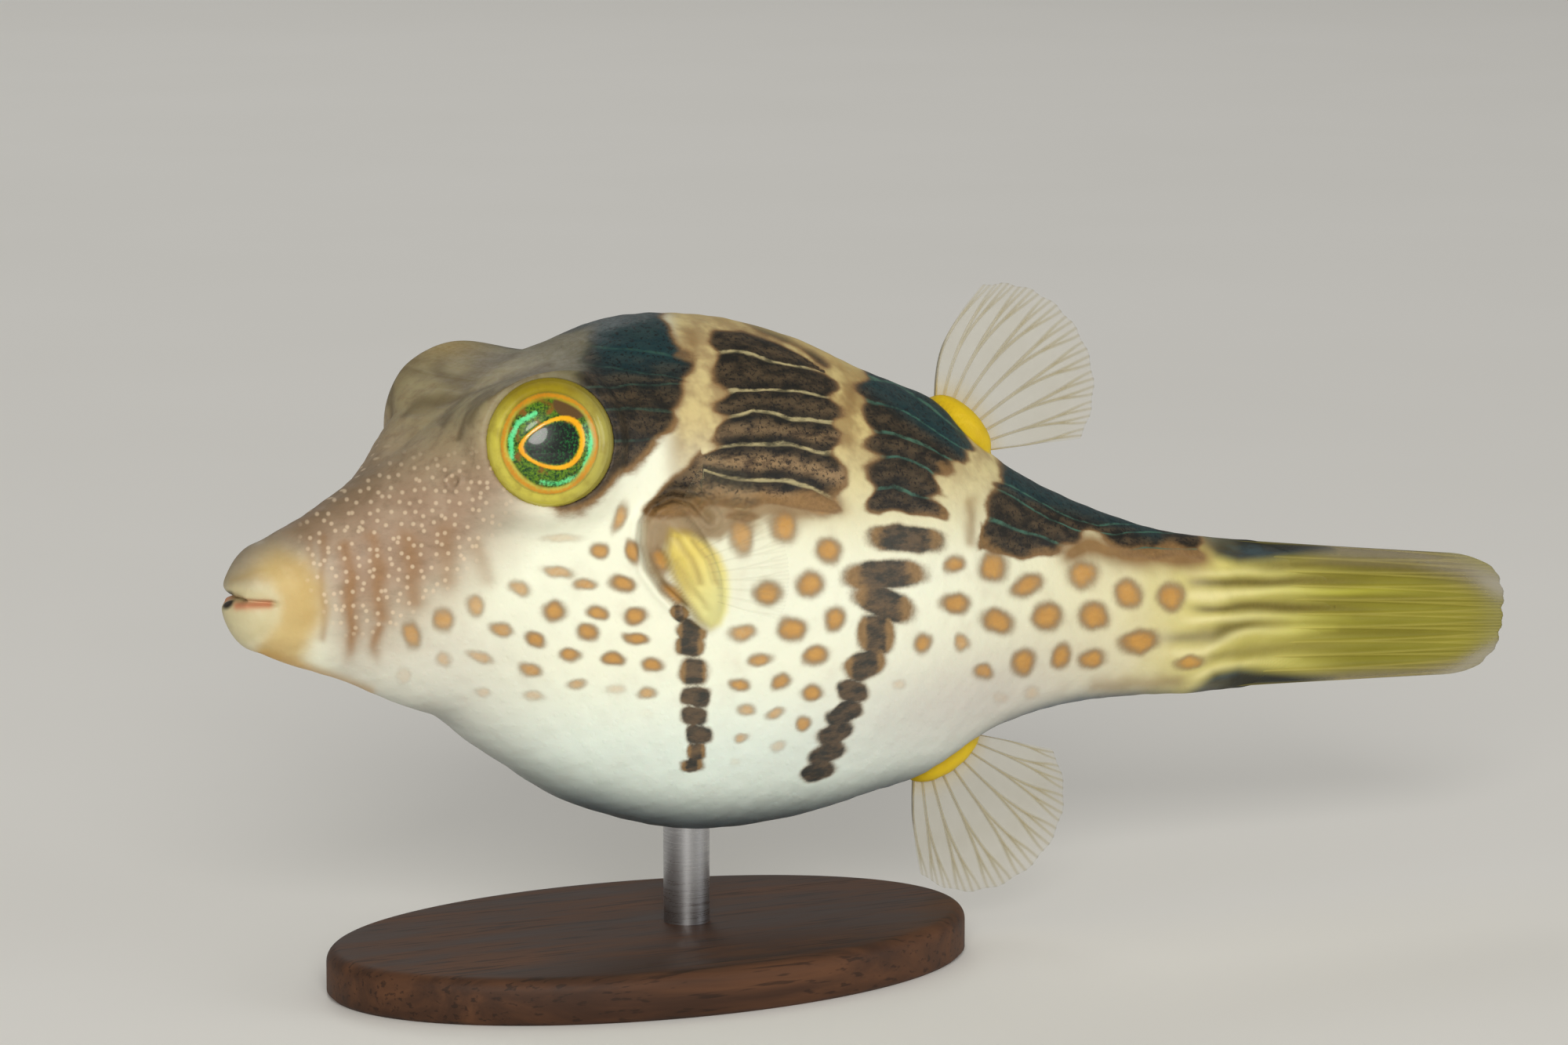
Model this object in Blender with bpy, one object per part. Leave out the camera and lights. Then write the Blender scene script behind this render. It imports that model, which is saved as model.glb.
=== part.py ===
"""A black-saddled toby (Canthigaster valentini), a small reef pufferfish, as a still life-size model that
swims on a plain display stand. Run with: blender --background --python part.py

The fish is shaped in its own frame, in millimetres: x runs from the lips (0) to the end of the tail fin, y
to its right side and z up, with z = 0 on the line from the mouth to the middle of the tail fin.
finish_piece() turns each shape into metres and hangs it on one empty, which is pitched nose-up over the
stand. In the finished scene the nose points to -X, +Z is up, and the origin is on the floor under the middle
of the whole model.
"""

import math

import bmesh
import bpy
import numpy as np
from mathutils import Matrix, Vector

MM = 0.001

# Driving sizes, in millimetres
TOTAL_LENGTH = 95.0
HEAD_END = 24.3
TORSO_END = 57.0
BODY_END = 71.0
GAP = 0.3
PITCH = math.radians(4.7)
AXIS_HEIGHT = 22.6

# Outlines of the body as (x, value) points, each at the few places that its shape needs
BACK_LINE = (
    (0.0, 0.3), (1.0, 2.6), (2.7, 4.0), (5.8, 5.8), (9.3, 8.2), (12.0, 10.3), (15.0, 12.9), (18.0, 15.0),
    (21.2, 16.7), (25.4, 18.4), (30.0, 18.8), (35.0, 18.3), (38.0, 17.6), (42.6, 15.8), (46.5, 14.5),
    (49.1, 13.5), (51.0, 11.9), (53.0, 10.4), (55.4, 9.0), (58.5, 7.6), (62.2, 6.3), (66.0, 5.3), (71.0, 4.6),
)
BELLY_LINE = (
    (0.0, 0.3), (1.0, -1.9), (2.4, -3.0), (4.8, -3.9), (8.6, -5.0), (13.0, -6.6), (15.3, -7.4), (17.5, -8.9),
    (19.8, -10.3), (24.4, -12.7), (29.0, -14.1), (34.7, -14.5), (40.3, -13.8), (46.0, -12.4), (49.4, -11.4),
    (51.7, -10.1), (54.0, -8.7), (56.8, -7.6), (60.3, -6.7), (66.0, -6.1), (71.0, -5.9),
)
HALF_WIDTH = (
    (0.0, 0.0), (1.0, 1.6), (2.7, 2.45), (5.8, 3.2), (9.3, 4.2), (13.0, 5.8), (18.0, 7.8), (22.0, 8.5),
    (26.0, 9.1), (31.0, 9.6), (37.0, 9.6), (43.0, 8.7), (49.0, 7.0), (54.0, 5.4), (60.0, 4.0), (66.0, 3.0),
    (71.0, 2.1),
)
WIDEST_HEIGHT = (
    (0.0, 0.3), (6.0, 1.0), (12.0, 4.2), (18.0, 7.6), (25.0, 4.6), (35.0, 1.6), (45.0, 0.8), (55.0, 0.3),
    (71.0, -0.4),
)
UPPER_POWER = (
    (0.0, 2.0), (9.0, 2.1), (18.0, 2.7), (25.0, 2.1), (32.0, 1.85), (45.0, 1.8), (60.0, 1.9), (71.0, 2.0),
)
LOWER_POWER = ((0.0, 2.0), (15.0, 2.1), (30.0, 2.25), (45.0, 2.05), (60.0, 1.95), (71.0, 2.0))

# Head
EYE_X, EYE_Y, EYE_Z = 17.9, 7.6, 11.3
EYE_RADIUS = 4.3
EYE_DEPTH = 2.7
EYE_TURNED_FORWARD = math.radians(14.0)
EYE_TURNED_UP = math.radians(8.0)
RIM_RADIUS = 5.05
RIM_DEPTH = 2.7
RIM_SUNK = 0.5
ORBIT_X, ORBIT_HEIGHT = 16.8, 12.2
ORBIT_RISE = 2.1
ORBIT_REACH_X = 6.2
ORBIT_REACH_AROUND = 5.4
ORBIT_STEEPNESS = 3.6
MOUTH_HEIGHT = 0.3
MOUTH_DEPTH = 2.6
MOUTH_HALF_WIDTH = 2.3
MOUTH_HALF_OPENING = 0.3
LIP_X, LIP_LENGTH, LIP_RISE = 1.3, 1.0, 0.4
NOSTRIL_X, NOSTRIL_Z = 12.4, 8.6
NOSTRIL_RADIUS, NOSTRIL_RIM = 0.42, 0.24
NOSTRIL_HOLE = (0.26, 0.7, 0.26)

# Gill opening: a curved slit round the front of the pectoral fin's fleshy root
GILL_CENTRE_X, GILL_CENTRE_Z = 27.4, 4.9
GILL_RADIUS = 3.3
GILL_TALLNESS = 1.15
GILL_SLIT_RADIUS = 0.34
GILL_FROM, GILL_TO = math.radians(105.0), math.radians(225.0)

# Fins: (x, z) ends of the root, angles of the first and last ray, and ray counts of the species
DORSAL_ROOT = ((49.3, 13.3), (53.0, 10.2))
DORSAL_PIVOT = (51.2, 12.3)
DORSAL_ANGLES = (83.0, -7.0)
ANAL_ROOT = ((49.8, -11.2), (53.9, -8.6))
ANAL_PIVOT = (52.0, -10.3)
ANAL_ANGLES = (-97.0, 5.0)
MEDIAN_FIN_LENGTHS = {"dorsal_fin": (8.9, 1.5), "anal_fin": (7.8, 2.6)}
MEDIAN_FIN_BOWS = {"dorsal_fin": 1.1, "anal_fin": 0.3}
MEDIAN_FIN_RAYS = 9
MEDIAN_FIN_WAVE = 0.7
PAD_RISE = 1.4
PAD_OVERHANG = 0.5
PAD_HALF_WIDTH = 1.35
RAY_HALF_THICKNESS = 0.42
MEMBRANE_HALF_THICKNESS = 0.26
TIP_HALF_THICKNESS = 0.2
MEMBRANE_LENGTH = 0.965

TAIL_RAYS = 11
TAIL_ROOT_TOP, TAIL_ROOT_BOTTOM = 4.4, -5.5
TAIL_TIP_MIDDLE, TAIL_TIP_HALF = -0.6, 3.95
TAIL_CORNER_X = 88.3
TAIL_FLESH_LENGTH = 5.5
TAIL_PLEAT = 0.28
TAIL_SCALLOP = 12.0

PECTORAL_RAYS = 14
PECTORAL_TOP = (25.7, 7.6)
PECTORAL_BOTTOM = (29.5, 0.4)
PECTORAL_LOBE_HALF = (4.3, 1.75, 1.8)
PECTORAL_LENGTH = 9.0
PECTORAL_FAN = math.radians(27.0)
PECTORAL_OUT = Vector((0.12, 0.9, 0.36))
PECTORAL_CUP = 0.8
PECTORAL_EDGE_SHORTER = 0.22
PECTORAL_RAYS_FROM, PECTORAL_RAYS_TO = 0.14, 0.8

# Stand
BASE_LENGTH, BASE_WIDTH, BASE_THICKNESS = 44.0, 27.0, 3.0
BASE_CENTRE_X = 29.5
BASE_BEVEL = 0.6
ROD_X, ROD_RADIUS = 33.0, 1.5
ROD_INTO_BELLY = 4.0

AROUND = 44

COLOURS = {
    "skin": ((0.86, 0.85, 0.82), 0.35, 0.0),
    "tail": ((0.84, 0.66, 0.36), 0.4, 0.0),
    "fin": ((0.80, 0.80, 0.66), 0.3, 0.0),
    "tail_fin": ((0.62, 0.60, 0.14), 0.35, 0.0),
    "eye": ((0.62, 0.60, 0.05), 0.08, 0.0),
    "stand_base": ((0.13, 0.08, 0.05), 0.45, 0.0),
    "stand_rod": ((0.62, 0.62, 0.64), 0.25, 1.0),
}


def clear_scene():
    for obj in list(bpy.data.objects):
        bpy.data.objects.remove(obj, do_unlink=True)


def make_material(name):
    colour, roughness, metallic = COLOURS[name]
    material = bpy.data.materials.new(name)
    material.use_nodes = True
    shader = material.node_tree.nodes["Principled BSDF"]
    shader.inputs["Base Color"].default_value = (*colour, 1.0)
    shader.inputs["Roughness"].default_value = roughness
    shader.inputs["Metallic"].default_value = metallic
    return material


def line_through(points):
    """A smooth function of x through (x, value) points, interpolated over sqrt(x) to make the nose blunt."""
    knots = np.sqrt([x for x, _ in points])
    values = np.array([value for _, value in points])
    slopes = np.gradient(values, knots)

    def value_at(x):
        q = np.sqrt(np.clip(x, 0.0, None))
        i = np.clip(np.searchsorted(knots, q) - 1, 0, len(knots) - 2)
        span = knots[i + 1] - knots[i]
        t = (q - knots[i]) / span
        return (
            values[i] * (1 + 2 * t) * (1 - t) ** 2
            + values[i + 1] * t * t * (3 - 2 * t)
            + span * (slopes[i] * t * (1 - t) ** 2 - slopes[i + 1] * t * t * (1 - t))
        )

    return value_at


back_at = line_through(BACK_LINE)
belly_at = line_through(BELLY_LINE)
half_width_at = line_through(HALF_WIDTH)
middle_at = line_through(WIDEST_HEIGHT)
upper_power_at = line_through(UPPER_POWER)
lower_power_at = line_through(LOWER_POWER)


def skin_radius(x, angle):
    """Distance from the middle of the section at x to the skin. Angle 0 is up and grows to the right side."""
    across, rise = np.abs(np.sin(angle)), np.cos(angle)
    middle = middle_at(x)
    reach = np.where(rise >= 0, back_at(x) - middle, middle - belly_at(x))
    power = np.where(rise >= 0, upper_power_at(x), lower_power_at(x))
    plain = ((across / half_width_at(x)) ** power + (np.abs(rise) / reach) ** power) ** (-1 / power)

    orbit_angle = np.arctan2(EYE_Y, ORBIT_HEIGHT - middle)
    ahead = (x - ORBIT_X) / ORBIT_REACH_X
    around = (np.abs(angle) - orbit_angle) * (plain + ORBIT_RISE) / ORBIT_REACH_AROUND
    orbit = ORBIT_RISE * np.exp(-(np.hypot(ahead, around) ** ORBIT_STEEPNESS))

    off_mouth = middle + plain * rise - MOUTH_HEIGHT
    lips = LIP_RISE * np.exp(-(((x - LIP_X) / LIP_LENGTH) ** 2))
    lips *= 1 - 0.6 * np.exp(-((off_mouth / 0.5) ** 2))
    return plain + orbit + lips


def skin_point(x, angle):
    radius = skin_radius(x, angle)
    return np.stack([x + 0 * radius, radius * np.sin(angle), middle_at(x) + radius * np.cos(angle)], -1)


def side_point(x, z, side):
    """The point of the flank at x and height z: side is -1 for the left and 1 for the right."""
    low, high = 0.02, math.pi - 0.02
    for _ in range(40):
        angle = (low + high) / 2
        if skin_point(x, angle)[2] > z:
            low = angle
        else:
            high = angle
    return Vector(skin_point(x, side * (low + high) / 2))


def new_object(name, mesh):
    obj = bpy.data.objects.new(name, mesh)
    bpy.context.scene.collection.objects.link(obj)
    return obj


def mesh_object(name, points, faces):
    mesh = bpy.data.meshes.new(name)
    mesh.from_pydata([tuple(p) for p in points], [], [tuple(f) for f in faces])
    mesh.validate()
    return new_object(name, mesh)


def loft(name, stations, nose=False):
    """The body between the first and last station, flat at its ends, or closed to a point at the nose."""
    angles = np.linspace(-math.pi, math.pi, AROUND, endpoint=False)
    rings = [skin_point(np.full(AROUND, x), angles) for x in stations]
    points = [p for ring in rings for p in ring]
    faces = []
    for row in range(len(rings) - 1):
        for i in range(AROUND):
            j = (i + 1) % AROUND
            a, b = row * AROUND, (row + 1) * AROUND
            faces.append((a + i, b + i, b + j, a + j))
    last = (len(rings) - 1) * AROUND
    faces.append([last + i for i in reversed(range(AROUND))])
    if nose:
        points.append((0.0, 0.0, MOUTH_HEIGHT))
        faces += [(len(points) - 1, i, (i + 1) % AROUND) for i in range(AROUND)]
    else:
        faces.append(range(AROUND))
    obj = mesh_object(name, points, faces)
    turn_faces_out(obj)
    return obj


def turn_faces_out(obj):
    shape = bmesh.new()
    shape.from_mesh(obj.data)
    bmesh.ops.recalc_face_normals(shape, faces=shape.faces)
    shape.to_mesh(obj.data)
    shape.free()


def ellipsoid(name, centre, half_sizes, turn=Matrix.Identity(3), segments=24):
    shape = bmesh.new()
    bmesh.ops.create_uvsphere(shape, u_segments=segments, v_segments=segments // 2, radius=1.0)
    matrix = Matrix.Translation(centre) @ turn.to_4x4() @ Matrix.Diagonal((*half_sizes, 1.0))
    bmesh.ops.transform(shape, matrix=matrix, verts=shape.verts)
    mesh = bpy.data.meshes.new(name)
    shape.to_mesh(mesh)
    shape.free()
    return new_object(name, mesh)


def evaluated_mesh(obj):
    graph = bpy.context.evaluated_depsgraph_get()
    mesh = bpy.data.meshes.new_from_object(obj.evaluated_get(graph), depsgraph=graph)
    mesh.transform(obj.matrix_world)
    return mesh


def move_to(obj, collection):
    for holder in list(obj.users_collection):
        holder.objects.unlink(obj)
    collection.objects.link(obj)


def boolean(obj, others, operation, solver="EXACT"):
    """Joins the others to obj, or cuts them from it, and removes them."""
    pieces = bpy.data.collections.new("pieces")
    bpy.context.scene.collection.children.link(pieces)
    for other in others:
        move_to(other, pieces)
    modifier = obj.modifiers.new("boolean", "BOOLEAN")
    modifier.operation = operation
    modifier.solver = solver
    modifier.operand_type = "COLLECTION"
    modifier.collection = pieces
    mesh = evaluated_mesh(obj)
    obj.modifiers.clear()
    obj.data = mesh
    for other in others:
        bpy.data.objects.remove(other, do_unlink=True)
    bpy.data.collections.remove(pieces)
    keep_largest(obj)


def keep_largest(obj):
    """Drops all but the largest closed surface of obj."""
    shape = bmesh.new()
    shape.from_mesh(obj.data)
    left = set(shape.verts)
    parts = []
    while left:
        part, edge = set(), [left.pop()]
        while edge:
            vert = edge.pop()
            part.add(vert)
            for link in vert.link_edges:
                other = link.other_vert(vert)
                if other in left:
                    left.discard(other)
                    edge.append(other)
        parts.append(part)
    parts.sort(key=len)
    bmesh.ops.delete(shape, geom=[v for part in parts[:-1] for v in part], context="VERTS")
    shape.to_mesh(obj.data)
    shape.free()


def body_stations(first, last, step):
    """Stations from first to last, closer together towards the blunt nose."""
    count = max(2, round((last - first) / step) + 1)
    return np.linspace(math.sqrt(first), math.sqrt(last), count) ** 2


def clearance_body(name):
    """The whole body, swollen by the gap: whatever grows on the skin is cut back with it."""
    obj = loft(name, body_stations(0.1, BODY_END + 1.0, 1.5), nose=True)
    shape = bmesh.new()
    shape.from_mesh(obj.data)
    shape.normal_update()
    for vert in shape.verts:
        vert.co += vert.normal * GAP
    shape.to_mesh(obj.data)
    shape.free()
    return obj


def eye_turn(side):
    """Turns local Z to the way that the eye looks: out to its side, a little forward and up."""
    out = Vector((
        -math.sin(EYE_TURNED_FORWARD),
        side * math.cos(EYE_TURNED_FORWARD) * math.cos(EYE_TURNED_UP),
        math.sin(EYE_TURNED_UP),
    ))
    return out.to_track_quat("Z", "Y").to_matrix()


def eye(name, side, clearance=0.0):
    half = (EYE_RADIUS + clearance, EYE_RADIUS + clearance, EYE_DEPTH + clearance)
    return ellipsoid(name, (EYE_X, side * EYE_Y, EYE_Z), half, eye_turn(side), segments=22)


def eye_rim(side):
    """The rounded fold of skin that holds the eye, before its socket is cut."""
    turn = eye_turn(side)
    centre = Vector((EYE_X, side * EYE_Y, EYE_Z)) - turn @ Vector((0.0, 0.0, RIM_SUNK))
    return ellipsoid("eye_rim", centre, (RIM_RADIUS, RIM_RADIUS, RIM_DEPTH), turn, segments=22)


def nostril_rim(side):
    """A ring that stands a little out of the skin in front of the eye."""
    centre = side_point(NOSTRIL_X, NOSTRIL_Z, side)
    ahead = side_point(NOSTRIL_X - 0.5, NOSTRIL_Z, side) - centre
    above = side_point(NOSTRIL_X, NOSTRIL_Z + 0.5, side) - centre
    out = ahead.cross(above) * side
    out = out.normalized() if out.y * side > 0 else -out.normalized()
    bpy.ops.mesh.primitive_torus_add(
        major_radius=NOSTRIL_RADIUS, minor_radius=NOSTRIL_RIM, major_segments=12, minor_segments=6
    )
    rim = bpy.context.object
    rim.data.transform(Matrix.Translation(centre) @ out.to_track_quat("Z", "Y").to_matrix().to_4x4())
    return rim


def gill_slit(side):
    """A tube along the gill opening, half sunk in the skin."""
    path = bpy.data.curves.new("gill_slit", "CURVE")
    path.dimensions = "3D"
    path.bevel_depth = GILL_SLIT_RADIUS
    path.bevel_resolution = 2
    path.use_fill_caps = True
    angles = np.linspace(GILL_FROM, GILL_TO, 15)
    spline = path.splines.new("POLY")
    spline.points.add(len(angles) - 1)
    for point, angle in zip(spline.points, angles):
        x = GILL_CENTRE_X + GILL_RADIUS * math.cos(angle)
        z = GILL_CENTRE_Z + GILL_RADIUS * GILL_TALLNESS * math.sin(angle)
        point.co = (*side_point(x, z, side), 1.0)
    return curve_to_mesh(new_object("gill_slit", path))


def curve_to_mesh(curve):
    mesh = evaluated_mesh(curve)
    shape = bmesh.new()
    shape.from_mesh(mesh)
    bmesh.ops.remove_doubles(shape, verts=shape.verts, dist=0.001)
    bmesh.ops.recalc_face_normals(shape, faces=shape.faces)
    shape.to_mesh(mesh)
    shape.free()
    bpy.data.objects.remove(curve, do_unlink=True)
    return new_object(mesh.name, mesh)


def make_head():
    head = loft("head", body_stations(0.12, HEAD_END, 0.85), nose=True)
    boolean(head, [rim(side) for side in (-1, 1) for rim in (eye_rim, nostril_rim)], "UNION")
    cutters = [eye("socket", side, GAP) for side in (-1, 1)]
    cutters.append(ellipsoid(
        "mouth", (0.0, 0.0, MOUTH_HEIGHT), (MOUTH_DEPTH, MOUTH_HALF_WIDTH, MOUTH_HALF_OPENING)
    ))
    for side in (-1, 1):
        hole = side_point(NOSTRIL_X, NOSTRIL_Z, side)
        cutters.append(ellipsoid("nostril_hole", hole, NOSTRIL_HOLE, segments=12))
        cutters.append(gill_slit(side))
    boolean(head, cutters, "DIFFERENCE")
    return head


def make_torso():
    torso = loft("torso", body_stations(HEAD_END + GAP, TORSO_END, 1.9))
    boolean(torso, [gill_slit(side) for side in (-1, 1)], "DIFFERENCE")
    return torso


def plate(name, grid, out, half_thickness):
    """A closed thin plate round a grid of points, with both faces split into triangles alike. grid is rows by
    columns of points, out the direction of its thickness and half_thickness a value for each point."""
    rows, columns = grid.shape[:2]
    shift = half_thickness[..., None] * out
    points = np.concatenate([(grid + shift).reshape(-1, 3), (grid - shift).reshape(-1, 3)])
    far = rows * columns
    faces = []
    for r in range(rows - 1):
        for c in range(columns - 1):
            a, b = r * columns + c, (r + 1) * columns + c
            for face in ((a, b, b + 1), (a, b + 1, a + 1)):
                faces.append(face)
                faces.append([far + v for v in reversed(face)])
    edge = [(0, c) for c in range(columns)] + [(r, columns - 1) for r in range(1, rows)]
    edge += [(rows - 1, c) for c in reversed(range(columns - 1))]
    edge += [(r, 0) for r in reversed(range(1, rows - 1))]
    loop = [r * columns + c for r, c in edge]
    for a, b in zip(loop, loop[1:] + loop[:1]):
        faces += [(a, b, far + b), (a, far + b, far + a)]
    obj = mesh_object(name, points, faces)
    turn_faces_out(obj)
    return obj


def ray_profile(rays, rows, pleat=1.0):
    """Half thickness of a fin at each row and column: a ridge along each ray, a thin membrane between, and a
    margin that thins out. Columns go ray, membrane, ray, from the first ray to the last."""
    columns = 2 * rays - 1
    along = np.linspace(0.0, 1.0, rows)[:, None]
    ridge = (np.arange(columns) % 2 == 0)[None, :]
    ray = RAY_HALF_THICKNESS + (TIP_HALF_THICKNESS - RAY_HALF_THICKNESS) * along**1.5
    web = MEMBRANE_HALF_THICKNESS + (TIP_HALF_THICKNESS - MEMBRANE_HALF_THICKNESS) * along**3
    return np.where(ridge, ray * pleat, web)


def scallop(columns):
    """The membrane between two rays ends a little short of their tips."""
    return np.where(np.arange(columns) % 2 == 0, 1.0, MEMBRANE_LENGTH)


def make_median_fin(name, root, pivot, angles):
    """The dorsal or anal fin: a fan of rays in the middle plane, on a low fleshy pad."""
    (x0, z0), (x1, z1) = root
    edge_length, more_length = MEDIAN_FIN_LENGTHS[name]
    columns, rows = 2 * MEDIAN_FIN_RAYS - 1, 7
    grid = np.zeros((rows, columns, 3))
    for c, share in enumerate(np.linspace(0.0, 1.0, columns)):
        angle = math.radians(angles[0] + (angles[1] - angles[0]) * share)
        length = (edge_length + more_length * math.sin(math.pi * share)) * scallop(columns)[c]
        start = Vector((x0 + (x1 - x0) * share, 0.0, z0 + (z1 - z0) * share))
        tip = Vector((pivot[0] + length * math.cos(angle), 0.0, pivot[1] + length * math.sin(angle)))
        forward = Vector((-math.sin(angle), 0.0, math.cos(angle))) * math.copysign(1.0, angles[0])
        for r, along in enumerate(np.linspace(0.0, 1.0, rows)):
            bow = forward * MEDIAN_FIN_BOWS[name] * (1 - share) * math.sin(math.pi * along)
            wave = MEDIAN_FIN_WAVE * along**1.5 * math.sin(1.5 * math.pi * share + 0.5)
            grid[r, c] = start.lerp(tip, along) + bow + Vector((0.0, wave, 0.0))
    fin = plate(name, grid, np.array([0.0, 1.0, 0.0]), ray_profile(MEDIAN_FIN_RAYS, rows))
    slope = math.atan2(z1 - z0, x1 - x0)
    centre = ((x0 + x1) / 2, 0.0, (z0 + z1) / 2)
    half = (math.hypot(x1 - x0, z1 - z0) / 2 + PAD_OVERHANG, PAD_HALF_WIDTH, PAD_RISE)
    pad = ellipsoid("pad", centre, half, Matrix.Rotation(-slope, 3, "Y"), segments=20)
    boolean(fin, [pad], "UNION")
    boolean(fin, [clearance_body("clearance")], "DIFFERENCE")
    return fin


def make_tail_fin():
    """The closed tail fin: long rays side by side, pleated, from a fleshy root as wide as the body's end."""
    columns, rows = 2 * TAIL_RAYS - 1, 12
    start_x = BODY_END + GAP
    grid = np.zeros((rows, columns, 3))
    thickness = ray_profile(TAIL_RAYS, rows)
    for c in range(columns):
        share = c / (columns - 1)
        spread = 2 * share - 1
        tip_x = TAIL_CORNER_X + (TOTAL_LENGTH - TAIL_CORNER_X) * (1 - abs(spread) ** 3) ** (1 / 3)
        tip_x -= (1 - scallop(columns)[c]) * TAIL_SCALLOP
        root_z = TAIL_ROOT_TOP + (TAIL_ROOT_BOTTOM - TAIL_ROOT_TOP) * share
        tip_z = TAIL_TIP_MIDDLE - TAIL_TIP_HALF * spread
        for r, along in enumerate(np.linspace(0.0, 1.0, rows)):
            x = start_x + (tip_x - start_x) * along
            flesh = max(0.0, 1 - (x - start_x) / TAIL_FLESH_LENGTH) ** 1.6
            flesh_half = (half_width_at(BODY_END) - 0.1) * math.sqrt(max(0.0, 1 - spread**2))
            pleat = TAIL_PLEAT * math.sin(math.pi * c / 2) * min(1.0, 2 * along) * (c % 2)
            grid[r, c] = (x, pleat, root_z + (tip_z - root_z) * along)
            thickness[r, c] += flesh * max(0.0, flesh_half - thickness[r, c])
    return plate("tail_fin", grid, np.array([0.0, 1.0, 0.0]), thickness)


def make_pectoral_fin(name, side):
    """A pectoral fin on its fleshy root, held out from the flank as in a slow swimming stroke."""
    top = side_point(*PECTORAL_TOP, side)
    bottom = side_point(*PECTORAL_BOTTOM, side)
    down = (bottom - top).normalized()
    out = Vector((PECTORAL_OUT.x, side * PECTORAL_OUT.y, PECTORAL_OUT.z)).normalized()
    face = down.cross(out).normalized()
    columns, rows = 2 * PECTORAL_RAYS - 1, 7
    grid = np.zeros((rows, columns, 3))
    for c, share in enumerate(np.linspace(0.0, 1.0, columns)):
        angle = PECTORAL_FAN * (2 * share - 1)
        ray = out * math.cos(angle) + down * math.sin(angle)
        shorter = PECTORAL_EDGE_SHORTER * abs(2 * share - 1) ** 2.5
        length = PECTORAL_LENGTH * (1 - shorter) * scallop(columns)[c]
        start = top.lerp(bottom, PECTORAL_RAYS_FROM + (PECTORAL_RAYS_TO - PECTORAL_RAYS_FROM) * share)
        for r, along in enumerate(np.linspace(0.0, 1.0, rows)):
            cup = face * PECTORAL_CUP * along**2 * math.cos(math.pi * (share - 0.5))
            grid[r, c] = start + ray * length * along - cup
    fin = plate(name, grid, np.array(face), ray_profile(PECTORAL_RAYS, rows))
    half_long, half_thick, half_deep = PECTORAL_LOBE_HALF
    turn = Matrix((face, down.cross(face), down)).transposed()
    middle = top.lerp(bottom, 0.5)
    lobe = ellipsoid("lobe", middle, (half_thick, half_deep, half_long), turn, segments=24)
    boolean(fin, [lobe], "UNION")
    boolean(fin, [clearance_body("clearance")], "DIFFERENCE")
    return fin


def make_base():
    shape = bmesh.new()
    bmesh.ops.create_cone(shape, cap_ends=True, segments=56, radius1=0.5, radius2=0.5, depth=1.0)
    bmesh.ops.scale(shape, vec=(BASE_LENGTH, BASE_WIDTH, BASE_THICKNESS), verts=shape.verts)
    rim = [edge for edge in shape.edges if abs(edge.verts[0].co.z - edge.verts[1].co.z) < 0.01]
    bmesh.ops.bevel(shape, geom=rim, offset=BASE_BEVEL, segments=1, affect="EDGES")
    mesh = bpy.data.meshes.new("stand_base")
    shape.to_mesh(mesh)
    shape.free()
    return new_object("stand_base", mesh)


def make_rod(to_fish):
    """The rod, in the fish's frame, from the base up to the belly, cut back to follow the belly's curve."""
    foot_world = BASE_THICKNESS + GAP
    reach = Vector((ROD_X, 0.0, float(belly_at(ROD_X)) + ROD_INTO_BELLY))
    head_world = to_fish.inverted() @ reach
    shape = bmesh.new()
    height = head_world.z - foot_world
    bmesh.ops.create_cone(
        shape, cap_ends=True, segments=32, radius1=ROD_RADIUS, radius2=ROD_RADIUS, depth=height
    )
    middle = Vector((head_world.x, 0.0, (head_world.z + foot_world) / 2))
    bmesh.ops.transform(shape, matrix=to_fish @ Matrix.Translation(middle), verts=shape.verts)
    mesh = bpy.data.meshes.new("stand_rod")
    shape.to_mesh(mesh)
    shape.free()
    rod = new_object("stand_rod", mesh)
    boolean(rod, [clearance_body("clearance")], "DIFFERENCE")
    return rod


def fish_matrix():
    """Takes a point of the fish's frame to the scene, both in millimetres."""
    return (
        Matrix.Translation((0.0, 0.0, AXIS_HEIGHT))
        @ Matrix.Rotation(PITCH, 4, "Y")
        @ Matrix.Translation((-TOTAL_LENGTH / 2, 0.0, 0.0))
    )


def finish_piece(obj, parent, collection, material, matrix):
    """Puts a piece shaped in millimetres in its place in metres, with its origin in its own middle."""
    mesh = obj.data
    mesh.transform(Matrix.Scale(MM, 4) @ matrix)
    points = [v.co for v in mesh.vertices]
    lowest = Vector([min(p[i] for p in points) for i in range(3)])
    highest = Vector([max(p[i] for p in points) for i in range(3)])
    middle = (lowest + highest) / 2
    mesh.transform(Matrix.Translation(-middle))
    mesh.shade_smooth()
    mesh.set_sharp_from_angle(angle=math.radians(40.0))
    mesh.materials.clear()
    mesh.materials.append(material)
    obj.parent = parent
    obj.location = middle
    move_to(obj, collection)


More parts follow.
